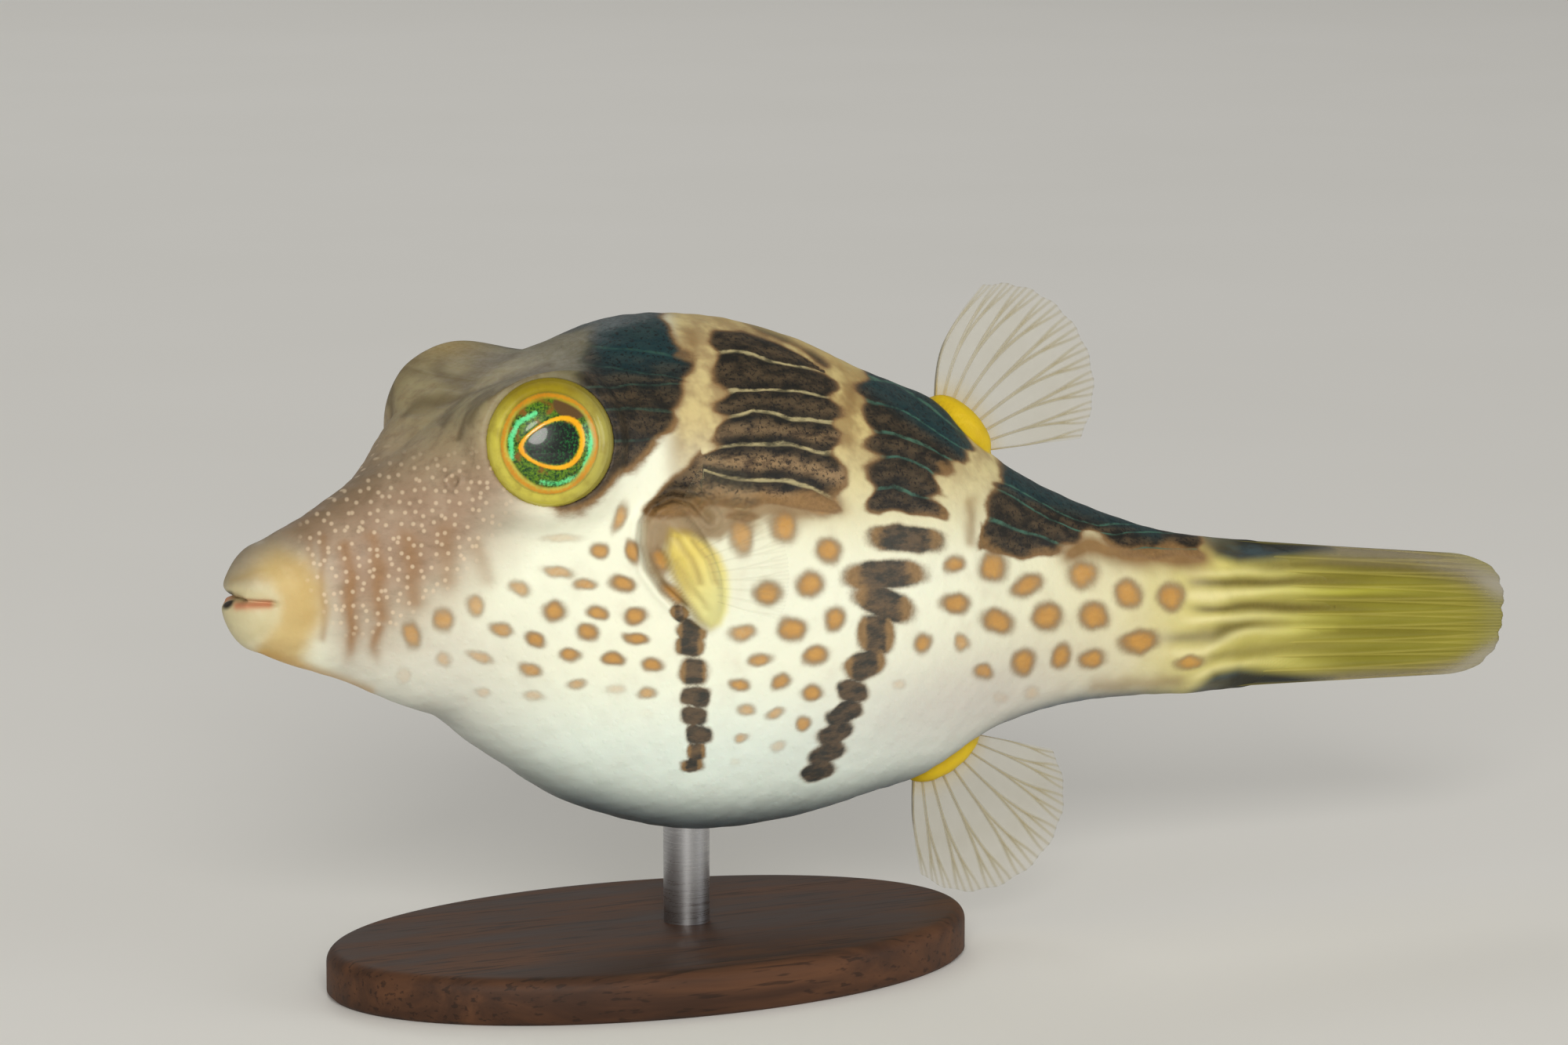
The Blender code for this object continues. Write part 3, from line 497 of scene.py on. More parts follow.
# Patches and lines of plain brown: round the gill fold, under the second saddle, along the tail's top
GILL_PATCH = (
    (824, 650), (850, 636), (890, 648), (866, 672), (848, 700), (850, 735), (868, 764), (848, 757),
    (830, 733), (819, 700),
)
BROWN_SHADES = (
    (((1366, 704), (1386, 694), (1430, 706), (1480, 711), (1530, 710)), 16, 1.2),
    (((1400, 874), (1450, 870), (1500, 868)), 11, 0.55), (((895, 655), (930, 662), (958, 666)), 16, 0.75),
    (((978, 656), (1008, 660), (1040, 654), (1070, 648)), 13, 0.7), (((1086, 492), (1084, 524)), 8, 0.7),
    (((1084, 556), (1082, 562)), 9, 0.7), (((1238, 640), (1240, 690)), 9, 0.7),
    (((880, 424), (884, 440)), 9, 0.6), (((1075, 470), (1088, 496)), 8, 0.6),
)
SADDLE_SHADE = (
    (845, 622), (920, 622), (1030, 634), (1040, 664), (975, 664), (945, 668), (918, 690), (886, 682),
    (850, 686),
)
SNOUT_TOP = ((292, 742), (315, 700), (379, 668), (443, 623), (468, 594), (489, 551))
LIP_PATCH = (
    (266, 800), (272, 762), (300, 751), (338, 753), (355, 770), (353, 793), (338, 812), (315, 828),
    (286, 828),
)
FOREHEAD_STREAKS = (
    (((505, 525), (520, 485), (555, 452), (600, 440)), 5, 1),
    (((520, 515), (545, 480), (590, 462), (650, 455)), 5, 1),
    (((560, 540), (590, 505), (640, 485), (700, 470)), 5, 1),
    (((596, 545), (612, 515), (645, 492), (690, 478)), 5, 1), (((488, 548), (497, 500), (528, 462)), 5, 1),
    (((585, 560), (600, 525), (625, 500)), 5, 1),
)
GILL_FOLD = (
    (905, 662), (885, 640), (858, 634), (833, 646), (819, 668), (816, 695), (826, 724), (846, 752),
    (870, 774),
)
GILL_FOLD_INNER = ((868, 655), (845, 660), (832, 680), (834, 700))
LOBE = (
    (856, 676), (880, 681), (902, 692), (918, 708), (928, 730), (931, 756), (928, 780), (920, 797),
    (907, 803), (892, 793), (876, 768), (860, 736), (850, 704),
)
LOBE_FOLDS = (
    (((862, 686), (882, 714), (894, 748)), 4, 1), (((884, 688), (904, 714), (912, 744)), 4, 1),
    (((866, 716), (884, 752), (900, 780)), 4, 1),
)
EYE_MINT = (
    (((652, 585), (651, 560), (660, 540), (682, 528)), 4.5, 1), (((755, 548), (752, 580), (742, 606)), 5, 1),
    (((690, 616), (712, 618), (735, 608)), 5, 0.7), (((745, 545), (748, 565)), 7, 0.5),
)
# Centre, half size and lean of ovals: in the photo, and for the yellow pads in the fish's x and z
EYE_CAP, NOTCH = ((726, 519), (24, 17), 20), ((289, 768), (9, 13), 20)
REAR_MAUVE = ((1250, 895), (190, 75), -12)
DORSAL_PAD, ANAL_PAD = ((51.3, 12.2), (3.1, 1.9), -40), ((51.9, -10.4), (3.1, 1.8), 32)
MOUTH_LINE, CHIN_LINE = ((302, 775), (342, 773)), ((335, 838), (370, 848), (420, 866), (470, 885))
TAIL_DARK_TOP = (
    (1526, 660), (1530, 690), (1550, 708), (1580, 716), (1620, 712), (1700, 700), (1690, 670), (1600, 660),
)
TAIL_DARK_LOW = (
    (1506, 892), (1528, 872), (1548, 856), (1580, 850), (1640, 856), (1700, 864), (1690, 900), (1580, 900),
)


def line_rows(at):
    """Where points are among a saddle's lines: a whole number on each line, a half midway between two."""
    row = np.full(len(at), -0.5)
    for start, end, lines in SADDLE_LINES:
        here = (at[:, 0] >= start) & (at[:, 0] < end)
        across, down = at[here, 0], at[here, 1]
        above = np.interp(across, *np.array(lines[0]).T)
        value = np.clip((down - above) / LINE_SPACING, -0.5, 0.0)
        for number, line in enumerate(lines[1:]):
            below = np.interp(across, *np.array(line).T)
            share = (down - above) / np.maximum(below - above, 4.0)
            value = np.where(down > above, number + np.clip(share, 0.0, 1.0), value)
            above = below
        value += np.clip((down - above) / LINE_SPACING, 0.0, 0.5)
        row[here] = value
    return row


def skin_marks(points):
    """All the skin's marks by name, for points of the fish's frame. They go from 0 to 1, but for the row of
    line_rows and the plane that the pale dots lie in."""
    at = photo_pixels(points)
    off_ridge = smooth_step(np.abs(points[:, 1]), 1, 5) * (points[:, 1] > 0)
    for axis, seed in ((0, 11), (1, 12)):
        at[:, axis] += 9 * off_ridge * ripple(points, 9, seed)
    ragged = at + 1.6 * np.stack([ripple(points, 1.1, 3), ripple(points, 1.1, 4)], -1)
    loose = at + 3.6 * np.stack([ripple(points, 2, 5), ripple(points, 2, 6)], -1)
    marks = {name: np.zeros(len(points)) for name in ("spot", "core", "bar", "warm", "saddle")}
    marks["shade"] = lines_mark(ragged, BROWN_SHADES)

    def across(low, high):
        return smooth_step(at[:, 0], low, high)

    def down(low, high):
        return smooth_step(at[:, 1], low, high)

    def strengthen(name, values, where=slice(None)):
        marks[name][where] = np.maximum(marks[name][where], values)

    for x, y, half_long, half_high, strength, *lean in SPOTS:
        near = np.abs(ragged - (x, y)).max(axis=1) < SPOT_REACH
        d = oval(ragged[near], (x, y), (half_long, half_high), *lean)
        strengthen("spot", strength * (1 - smooth_step(d, 0.5, 1.45)), near)
        strengthen("core", 1 - smooth_step(d, 0, 1.2), near)
    for x, y, half_long, half_high, lean, darkness in BAR_LUMPS:
        near = np.abs(ragged - (x, y)).max(axis=1) < LUMP_REACH
        d = oval(ragged[near], (x, y), (half_long, half_high), lean, 3)
        strengthen("bar", 1 - smooth_step(d, 0.66, 1.3), near)
        ends = smooth_step(np.abs(at[near, 0] - x) / half_long, 0.3, 0.85)
        pale = (1 - darkness) * 0.8 + ends * smooth_step(0.97 - darkness, 0, 0.1)
        strengthen("warm", pale * (1 - smooth_step(d, 0.8, 1.15)), near)

    row = line_rows(at + np.stack([0 * at[:, 0], 2.2 * ripple(points, 2.2, 7)], -1))
    from_line = np.abs(row - np.round(row))
    front = across(800, 765)
    for corners, draw in SADDLES:
        inside = depth_inside(loose, corners) + draw * (smooth_step(from_line, 0, 0.4) - 0.62)
        strengthen("saddle", smooth_step(inside, -13 - 14 * front, 17 + 12 * front))
    strengthen("warm", line_mark(loose, FIRST_SADDLE_FRINGE, 9) * down(505, 545))
    strengthen("warm", lines_mark(loose, SADDLE_LOW_EDGES))
    for patch in (GILL_PATCH, SADDLE_SHADE):
        strengthen("shade", 0.95 * patch_mark(loose, patch, -9, 8))

    in_taupe, in_lobe = depth_inside(loose, TAUPE_PATCH), depth_inside(at, LOBE)
    on_side = smooth_step(np.abs(points[:, 1]), 3, 6)
    lobe = smooth_step(in_lobe, -6, 6) * on_side
    blue_top = down(520, 430) * across(735, 775) * across(905, 860)
    throat_mauve = 0.6 * down(750, 850) * across(400, 450) * across(760, 560)
    off_pads = [oval(points[:, ::2], *pad) for pad in (DORSAL_PAD, ANAL_PAD)]
    off_orbit = points - np.array(EYE_CENTRE) - (-0.5, -0.4, 4.6)
    return marks | tail_marks(points) | {
        "row": row,
        "first": across(905, 880),
        "blue": np.maximum(blue_top, patch_mark(at, REAR_STRIP, -16, 14)),
        "green": np.maximum(across(1082, 1108), across(905, 865)),
        "upper": down(700, 520) * across(835, 870),
        "brown": down(500, 600) * across(850, 930) * across(1110, 1070),
        "ridge": line_mark(at, RIDGE_BAND, 7),
        "taupe": smooth_step(in_taupe, -80, 55),
        "dotted": smooth_step(in_taupe, -16, 10) * down(560, 610) * across(680, 610) * across(372, 400),
        "snout_bar": lines_mark(ragged, SNOUT_BARS) * down(862, 815),
        "crown": across(600, 745) * down(600, 450) * across(845, 800),
        "high": down(650, 500),
        "cool": down(830, 980),
        "rear": np.maximum(across(1130, 1560), 0.8 * down(760, 600) * across(860, 1100)),
        "ochre": patch_mark(loose, OCHRE_PATCH, -32, 24),
        "lip": patch_mark(at, LIP_PATCH, -12, 10),
        "mauve": np.maximum(throat_mauve, bell(oval(at, *REAR_MAUVE), 1)),
        "mouth": line_mark(at, MOUTH_LINE, 6),
        # Painted shade in the gap at the front of the mouth
        "mouth_notch_shade": 1 - smooth_step(oval(at, *NOTCH), 0.6, 1.2),
        "streak": np.maximum(lines_mark(loose, FOREHEAD_STREAKS), 0.9 * line_mark(at, GILL_FOLD, 4)),
        # Painted shade: darker along the top of the snout
        "snout_top_shade": line_mark(at, SNOUT_TOP, 36) * down(560, 610),
        "chin": line_mark(at, CHIN_LINE, 8),
        "lobe": lobe,
        # Painted shadow round the front part of the lobe's outline
        "lobe_edge_shade": bell(in_lobe, 6) * on_side * across(930, 880),
        "lobe_fold": lines_mark(loose, LOBE_FOLDS) * lobe * down(790, 740),
        "lobe_end": smooth_step(at.sum(axis=1), 1580, 1690),
        "pad": smooth_step(np.hypot(np.minimum(*off_pads), points[:, 1] / 2), 1.12, 0.92),
        "tail": smooth_step(at[:, 0] + 10 * ripple(points, 2, 8), 1410, 1580),
        "far_orbit": bell(np.linalg.norm(off_orbit, axis=1), 2.4),
        "plane": np.stack([*at.T / PLANE_UNIT, 0 * at[:, 0]], -1),
    }


# The skin


def raise_over(points, centre, axes, half, fullness, softness):
    """Lifts the points that lie under a dome on to it. axes has its directions as rows, the last pointing out
    of the body. A fullness of 0.5 is an ellipsoid, and 1 a gentler mound."""
    local = (points - np.array(centre)) @ axes.T
    inside = np.hypot(local[..., 0] / half[0], local[..., 1] / half[1])
    profile = 1 - inside**2
    dome = half[2] * np.sign(profile) * np.abs(profile) ** fullness
    near = (inside < 1.5) & (local[..., 2] > -3.0 * half[2])
    lifted = np.where(near, smooth_max(local[..., 2], dome, softness), local[..., 2])
    return points + (lifted - local[..., 2])[..., None] * axes[2]


def row_axes(first, out):
    first = np.array(Vector(first).normalized())
    out = np.array(Vector(out))
    second = np.cross(out, first)
    second /= np.linalg.norm(second)
    return np.stack([first, second, np.cross(first, second)])


def hold_eye(points, side):
    """Draws a soft rim of skin round the eyeball, and pulls the skin in behind it."""
    centre, axes = eye_frame(side)
    local = (points - centre) @ axes.T
    off = np.hypot(local[..., 0], local[..., 1])
    near = smooth_step(local[..., 2], -3.6, -2.0) * (off < 7.5)
    past_eye = np.clip(off - EYE_RADIUS, 0.0, None)
    height = smooth_max(local[..., 2], RIM_HEIGHT - 1.5 * past_eye**2, 0.4)
    skirt = local[..., 2] + (RIM_HEIGHT - local[..., 2]) * bell(past_eye, 1.2)
    below = smooth_step(centre[2] - points[..., 2], 0.5, 3.5)
    height = height * (1 - below) + skirt * below
    socket = smooth_step(off, EYE_RADIUS - 0.24, EYE_RADIUS - 0.44)
    height = height * (1 - socket) + np.minimum(local[..., 2], -1.0) * socket
    change = near * (height - local[..., 2])
    return points + change[..., None] * axes[2]


def lobe_frame(side):
    """The ends of the pectoral fin's root, and the ways down along it, out with the fin and across it."""
    top, bottom = side_point(*PECTORAL_TOP, side), side_point(*PECTORAL_BOTTOM, side)
    down = (bottom - top).normalized()
    out = Vector((PECTORAL_OUT[0], side * PECTORAL_OUT[1], PECTORAL_OUT[2])).normalized()
    face = down.cross(out).normalized()
    return top, bottom, down, out, face


def grid_normals(points):
    along = np.gradient(points, axis=0)
    around = np.roll(points, -1, axis=1) - np.roll(points, 1, axis=1)
    normals = np.cross(around, along)
    return normals / np.clip(np.linalg.norm(normals, axis=-1, keepdims=True), 1e-9, None)


def make_skin(material):
    rows, columns = ((640, 500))
    stations = np.linspace(math.sqrt(SKIN_START), math.sqrt(SKIN_END), rows) ** 2
    angles = np.linspace(-math.pi, math.pi, columns, endpoint=False)
    points = skin_point(*np.meshgrid(stations, angles, indexing="ij"))

    for fin, sign in (("dorsal_fin", 1), ("anal_fin", -1)):
        (x0, z0), (x1, z1) = FAN_FINS[fin]["root"]
        half = (math.hypot(x1 - x0, z1 - z0) / 2 + PAD_HALF[0], *PAD_HALF[1:])
        axes = row_axes((x1 - x0, 0, z1 - z0), (sign * (z0 - z1), 0, sign * (x1 - x0)))
        points = raise_over(points, ((x0 + x1) / 2, 0, (z0 + z1) / 2), axes, half, 0.5, 0.25)
    for side in (-1, 1):
        top, bottom, down, _, face = lobe_frame(side)
        out = down.cross(face)
        axes = np.array([down, face, out if out.y * side > 0 else -out])
        points = raise_over(points, (top + bottom) / 2, axes, PECTORAL_LOBE_HALF, 0.9, 0.5)
        points = hold_eye(points, side)

    normals = grid_normals(points)
    normals *= math.copysign(1, normals[rows // 2, columns // 2, 2])
    flat, normals = points.reshape(-1, 3), normals.reshape(-1, 3)
    at = photo_pixels(flat)
    off_fold = line_distance(at, GILL_FOLD)
    lift = 0.05 * ripple(flat, 5, 21) + 0.018 * ripple(flat, 1.1, 22)
    lift -= 0.3 * bell(off_fold, 4.5) - 0.22 * bell(off_fold - 11, 5)
    lift -= 0.1 * line_mark(at, GILL_FOLD_INNER, 4)
    lift -= 0.09 * lines_mark(at, FOREHEAD_STREAKS) + 0.14 * lines_mark(at, LOBE_FOLDS)
    for side in (-1, 1):
        off_nostril = np.linalg.norm(flat - np.array(side_point(NOSTRIL_X, NOSTRIL_Z, side)), axis=1)
        lift += 0.22 * bell(off_nostril - 0.46, 0.17) - 0.35 * bell(off_nostril, 0.24)
    off_eyes = np.linalg.norm(np.stack([flat[:, 0], np.abs(flat[:, 1]), flat[:, 2]], -1) - EYE_CENTRE, axis=1)
    lift *= smooth_step(flat[:, 0], 0.3, 1.5) * smooth_step(off_eyes, 4.8, 6)
    off_mouth = flat[:, 2] - MOUTH_HEIGHT
    slit = bell(off_mouth, 0.17) * smooth_step(flat[:, 0], 2.9, 2.3)
    front = bell(off_mouth, 0.42) * smooth_step(flat[:, 0], 0.9, 0.2)
    flat = flat + normals * lift[:, None]
    inward = np.array([3, 0, MOUTH_HEIGHT]) - flat
    inward /= np.linalg.norm(inward, axis=1, keepdims=True)
    flat = flat + inward * (0.42 * slit + 0.75 * front)[:, None]

    flat = np.concatenate([flat, [(flat[0, 0] + 0.6, 0, MOUTH_HEIGHT)], [flat[-columns:].mean(axis=0)]])
    marks = skin_marks(flat)
    # The under mark is painted shade: dark blue-grey where the skin faces down, faint at the throat and none
    # ahead of it
    shade_facing_down = smooth_step(-np.append(normals[:, 2], [0, 0]), 0.5, 0.95) * smooth_step(flat[:, 2], 1, -3)
    behind_throat = 0.4 * smooth_step(flat[:, 0], 10, 16) + 0.6 * smooth_step(flat[:, 0], 17, 26)
    marks["under"] = behind_throat * shade_facing_down
    replaced = ("head", "torso", "tail")
    make_piece("toby_skin", to_scene(flat), tube_faces(rows, columns), material, replaced, marks)


# The eyes


def make_eye(side, material):
    rings, around = ((130, 200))
    tilt = np.linspace(0.012, EYE_BACK_TILT, rings)[:, None]
    turn = np.linspace(0, 2 * math.pi, around, endpoint=False)
    radius = EYE_RADIUS * np.sin(tilt) ** np.where(tilt > math.pi / 2, 3, 1)
    local = np.stack([radius * np.cos(turn), radius * np.sin(turn), EYE_DEPTH * np.cos(tilt) + 0 * turn], -1)
    ends = [(0, 0, EYE_DEPTH), (0, 0, EYE_DEPTH * math.cos(EYE_BACK_TILT))]
    centre, axes = eye_frame(side)
    flat = np.concatenate([local.reshape(-1, 3), ends]) @ axes + centre

    at = photo_pixels(flat)
    off = at - EYE_PIXEL
    away = np.hypot(off[:, 0], off[:, 1] * 0.96)
    shaken = away + 1.4 * ripple(flat, 1.3, 31)
    ahead = (at[:, 0] - PUPIL_PIXEL[0]) / PUPIL_HALF[0]
    egg = np.hypot(ahead, (at[:, 1] - PUPIL_PIXEL[1] + 4 * ahead) / PUPIL_HALF[1] / (1 + 0.28 * ahead))
    front = flat @ axes[2] > centre @ axes[2] - 0.4
    marks = {
        "pupil": (1 - smooth_step(egg, 0.96, 1.04)) * front,
        "gold": bell(egg - 1.15, 0.13),
        "iris": (1 - smooth_step(shaken, 52, 56)) * front,
        "orange": bell(shaken - 60, 4.5),
        "radial": away / 80,
        "top": smooth_step(-off[:, 1], 20, 70),
        "rear": smooth_step(off[:, 0], 5, 75),
        "cap": 1 - smooth_step(oval(at, *EYE_CAP), 0.7, 1.15),
        "mint": lines_mark(at, EYE_MINT),
    }
    relief = -0.11 * bell(away - 66, 3) + 0.03 * marks["gold"] - 0.05 * bell(away - 79, 2.5)
    outward = flat - centre
    outward /= np.linalg.norm(outward, axis=1, keepdims=True)
    flat = flat + outward * (relief * front)[:, None]
    name = "eye_left" if side < 0 else "eye_right"
    make_piece(f"{name}_ball", to_scene(flat), tube_faces(rings, around), material, (name,), marks)


# Fins


def ray_pattern(share, along, rays, width):
    """1 on a ray and 0 between, for rays that fork twice. share runs from the first ray to the last."""
    place = share * (rays - 1)
    off = place - np.round(place)
    first = 0.25 * smooth_step(along, RAY_FORKS[0], 1.0)
    second = 0.12 * smooth_step(along, RAY_FORKS[1], 1.0)
    thin = width * (1 - 0.45 * along)
    return np.max([bell(off - a * first - b * second, thin) for a in (-1, 1) for b in (-1, 1)], axis=0)


def membrane(fin, surface, out, rays, fine, half_thickness, width, material, marks_for=None):
    """A thin closed fin: surface gives the middle points for (share, along) grids."""
    rows = fine[0]
    columns = (rays - 1) * fine[1] + 1
    along, share = np.meshgrid(np.linspace(0, 1, rows), np.linspace(0, 1, columns), indexing="ij")
    middle = surface(share, along)
    ray = ray_pattern(share, along, rays, width)
    web, stem, tip = half_thickness
    thick = web + (stem * (1 - along**1.4) + tip * along**1.4) * ray
    shift = thick[..., None] * np.array(out)
    points = np.concatenate([(middle + shift).reshape(-1, 3), (middle - shift).reshape(-1, 3)])
    marks = {"ray": np.tile(ray.ravel(), 2), "along": np.tile(along.ravel(), 2)}
    if marks_for:
        marks |= marks_for(points)
    faces = plate_faces(rows, columns)
    make_piece(f"{fin}_membrane", to_scene(points), faces, material, (fin,), marks)


def scalloped(share, rays, depth):
    """The fin's margin dips a little between each pair of rays."""
    return 1.0 - depth * (0.5 - 0.5 * np.cos(2 * math.pi * share * (rays - 1)))


def make_fan_fin(name, material):
    fin = FAN_FINS[name]
    (x0, z0), (x1, z1) = fin["root"]

    def surface(share, along):
        angle = np.radians(fin["angles"][0] + (fin["angles"][1] - fin["angles"][0]) * share)
        length = fin["lengths"][0] + fin["lengths"][1] * np.sin(math.pi * share)
        length = length * scalloped(share, FAN_RAYS, 0.014)
        start_x, start_z = x0 + (x1 - x0) * share, z0 + (z1 - z0) * share
        tip_x = fin["pivot"][0] + length * np.cos(angle)
        tip_z = fin["pivot"][1] + length * np.sin(angle)
        bow = fin["bow"] * (1 - share) * np.sin(math.pi * along) * math.copysign(1, fin["angles"][0])
        wave = FAN_WAVE * along**1.5 * np.sin(1.5 * math.pi * share + 0.5)
        x = start_x + (tip_x - start_x) * along - np.sin(angle) * bow
        z = start_z + (tip_z - start_z) * along + np.cos(angle) * bow
        return np.stack([x, wave, z], -1)

    membrane(name, surface, (0, 1, 0), FAN_RAYS, (70, 26), (0.05, 0.16, 0.05), 0.075, material)


def make_pectoral(side, material):
    top, bottom, down, out, face = (np.array(v) for v in lobe_frame(side))

    def surface(share, along):
        angle = (PECTORAL_FAN * (2 * share - 1))[..., None]
        ray = out * np.cos(angle) + down * np.sin(angle)
        length = PECTORAL_LENGTH * (1 - 0.22 * np.abs(2 * share - 1) ** 2.5)
        length = length * scalloped(share, PECTORAL_RAYS, 0.012)
        start = top + (bottom - top) * (0.14 + 0.66 * share)[..., None]
        cup = 0.8 * along**2 * np.cos(math.pi * (share - 0.5))
        return start + ray * (length * along)[..., None] - face * cup[..., None]

    name = "pectoral_fin_left" if side < 0 else "pectoral_fin_right"
    membrane(name, surface, face, PECTORAL_RAYS, (60, 16), (0.035, 0.03, 0.03), 0.1, material)


# The streaks that run into the tail fin, as lines_mark takes them
OLIVE_STREAKS = (
    (((1500, 741), (1560, 742), (1640, 740), (1760, 736), (1900, 738)), 7, 1, (1505, 1530, 1600, 1840)),
    (((1500, 772), (1560, 773), (1640, 774), (1760, 776)), 7, 1, (1505, 1540, 1640, 1790)),
    (((1440, 820), (1480, 811), (1545, 808), (1590, 795), (1640, 792)), 9, 1, (1440, 1465, 1560, 1680)),
    (((1510, 844), (1560, 834), (1600, 828), (1760, 826)), 8, 0.6, (1520, 1550, 1580, 1800)),
    (((1560, 722), (1640, 719), (1760, 720), (1860, 730)), 8, 0.75, (1560, 1640, 1780, 1880)),
    (((1640, 762), (1760, 763), (1900, 766)), 5, 0.35, (1640, 1700, 1760, 1900)),
    (((1640, 806), (1760, 806), (1900, 800)), 5, 0.35, (1640, 1700, 1760, 1900)),
    (((1400, 880), (1470, 874), (1520, 866)), 14, 0.4, (1400, 1460, 1490, 1540)),
)
CREAM_STREAKS = (
    (((1490, 727), (1560, 729), (1640, 727), (1760, 724)), 5, 0.6, (1490, 1530, 1560, 1760)),
    (((1490, 757), (1560, 757), (1650, 752), (1760, 751), (1860, 752)), 6, 0.95, (1490, 1530, 1600, 1860)),
    (((1490, 790), (1560, 789), (1600, 784), (1720, 785)), 6, 0.9, (1490, 1530, 1590, 1760)),
    (((1464, 834), (1535, 828), (1557, 814), (1601, 803), (1700, 800)), 7, 1, (1460, 1510, 1600, 1760)),
    (((1510, 868), (1550, 852), (1600, 842), (1700, 842)), 6, 0.7, (1510, 1540, 1580, 1720)),
)
TAIL_EDGES = (
    (((1500, 686), (1600, 694), (1700, 698), (1800, 704), (1860, 722), (1915, 746)), 18, 1),
    (((1600, 870), (1700, 866), (1800, 860), (1860, 850), (1912, 824)), 13, 0.9),
)


def tail_marks(points):
    """The streaks and dark corners of the tail, shared by the skin's end and the tail fin."""
    at = photo_pixels(points)
    loose = at + np.array([0, 2]) * ripple(points * (0.25, 1, 1), 1.2, 41)[:, None]
    return {
        "dark": np.maximum(patch_mark(at, TAIL_DARK_TOP, -9, 9), patch_mark(at, TAIL_DARK_LOW, -9, 9)),
        "olive": lines_mark(loose, OLIVE_STREAKS),
        "cream": lines_mark(loose, CREAM_STREAKS),
        "clear": lines_mark(at, TAIL_EDGES) * smooth_step(at[:, 0], 1600, 1720),
        "end": smooth_step(at[:, 0], 1510, 1750),
    }


def make_tail_fin(material):
    def surface(share, along):
        spread = 2 * share - 1
        tip_x = TAIL_CORNER_X + (TOTAL_LENGTH - TAIL_CORNER_X) * (1 - np.abs(spread) ** 3) ** (1 / 3)
        tip_x = tip_x - 0.12 * (1 - scalloped(share, TAIL_RAYS, 1))
        root_z = TAIL_ROOT_TOP + (TAIL_ROOT_BOTTOM - TAIL_ROOT_TOP) * share
        x = TAIL_FIN_START + (tip_x - TAIL_FIN_START) * along
        z = root_z + (TAIL_TIP_MIDDLE - TAIL_TIP_HALF * spread - root_z) * along
        sway = 0.1 * np.sin(math.pi * share * (TAIL_RAYS - 1)) * np.clip(2 * along, 0, 1)
        return np.stack([x, sway, z], -1)

    membrane(
        "tail_fin", surface, (0, 1, 0), TAIL_RAYS, (150, 18), (0.14, 0.13, 0.05), 0.13,
        material, tail_marks,
    )


# The stand


def turned_piece(name, node, box, profile, around, material):
    """An oval piece of the stand in its node's box. The profile is of (share of its size, inset, height)."""
    middle, half = (box[0] + box[1]) / 2, (box[1] - box[0]) / 2
    turn = np.linspace(0, 2 * math.pi, around, endpoint=False)
    rings = [
        np.stack([
            middle[0] + (half[0] * share + inset) * np.cos(turn),
            (half[1] * share + inset) * np.sin(turn),
            height + 0 * turn,
        ], -1)
        for share, inset, height in profile
    ]
    places = np.concatenate(rings + [[(middle[0], 0, profile[end][2])] for end in (0, -1)])
    faces = tube_faces(len(profile), around)
    make_piece(name, places, faces, material, (node,), sharp_angle=math.radians(50))


def make_base(material):
    box = np.array(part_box("stand_base"))
    top = box[1, 2]
    profile = [(share, 0, 0) for share in (0.3, 0.6, 0.9)]
    profile += [(1, -BASE_LOW_EDGE, 0), (1, 0, BASE_LOW_EDGE)]
    profile += [
        (1, -BASE_EDGE * (1 - math.cos(t)), top - BASE_EDGE * (1 - math.sin(t)))
        for t in np.linspace(0, math.pi / 2, 9)
    ]
    profile += [(share, 0, top) for share in (0.9, 0.7, 0.5, 0.3)]
    turned_piece("stand_base_wood", "stand_base", box, profile, 320, material)


def make_rod(material):
    heights = np.linspace(ROD_BOX[0, 2] - ROD_INTO_BASE, ROD_BOX[1, 2] + ROD_INTO_BELLY, 24)
    turned_piece("stand_rod_steel", "stand_rod", ROD_BOX, [(1, 0, z) for z in heights], 96, material)


# Materials


def linear(*screen):
    """A screen colour, 0 to 255, as a linear one."""
    return (*(c / 255 / 12.92 if c < 11 else ((c / 255 + 0.055) / 1.055) ** 2.4 for c in screen), 1)


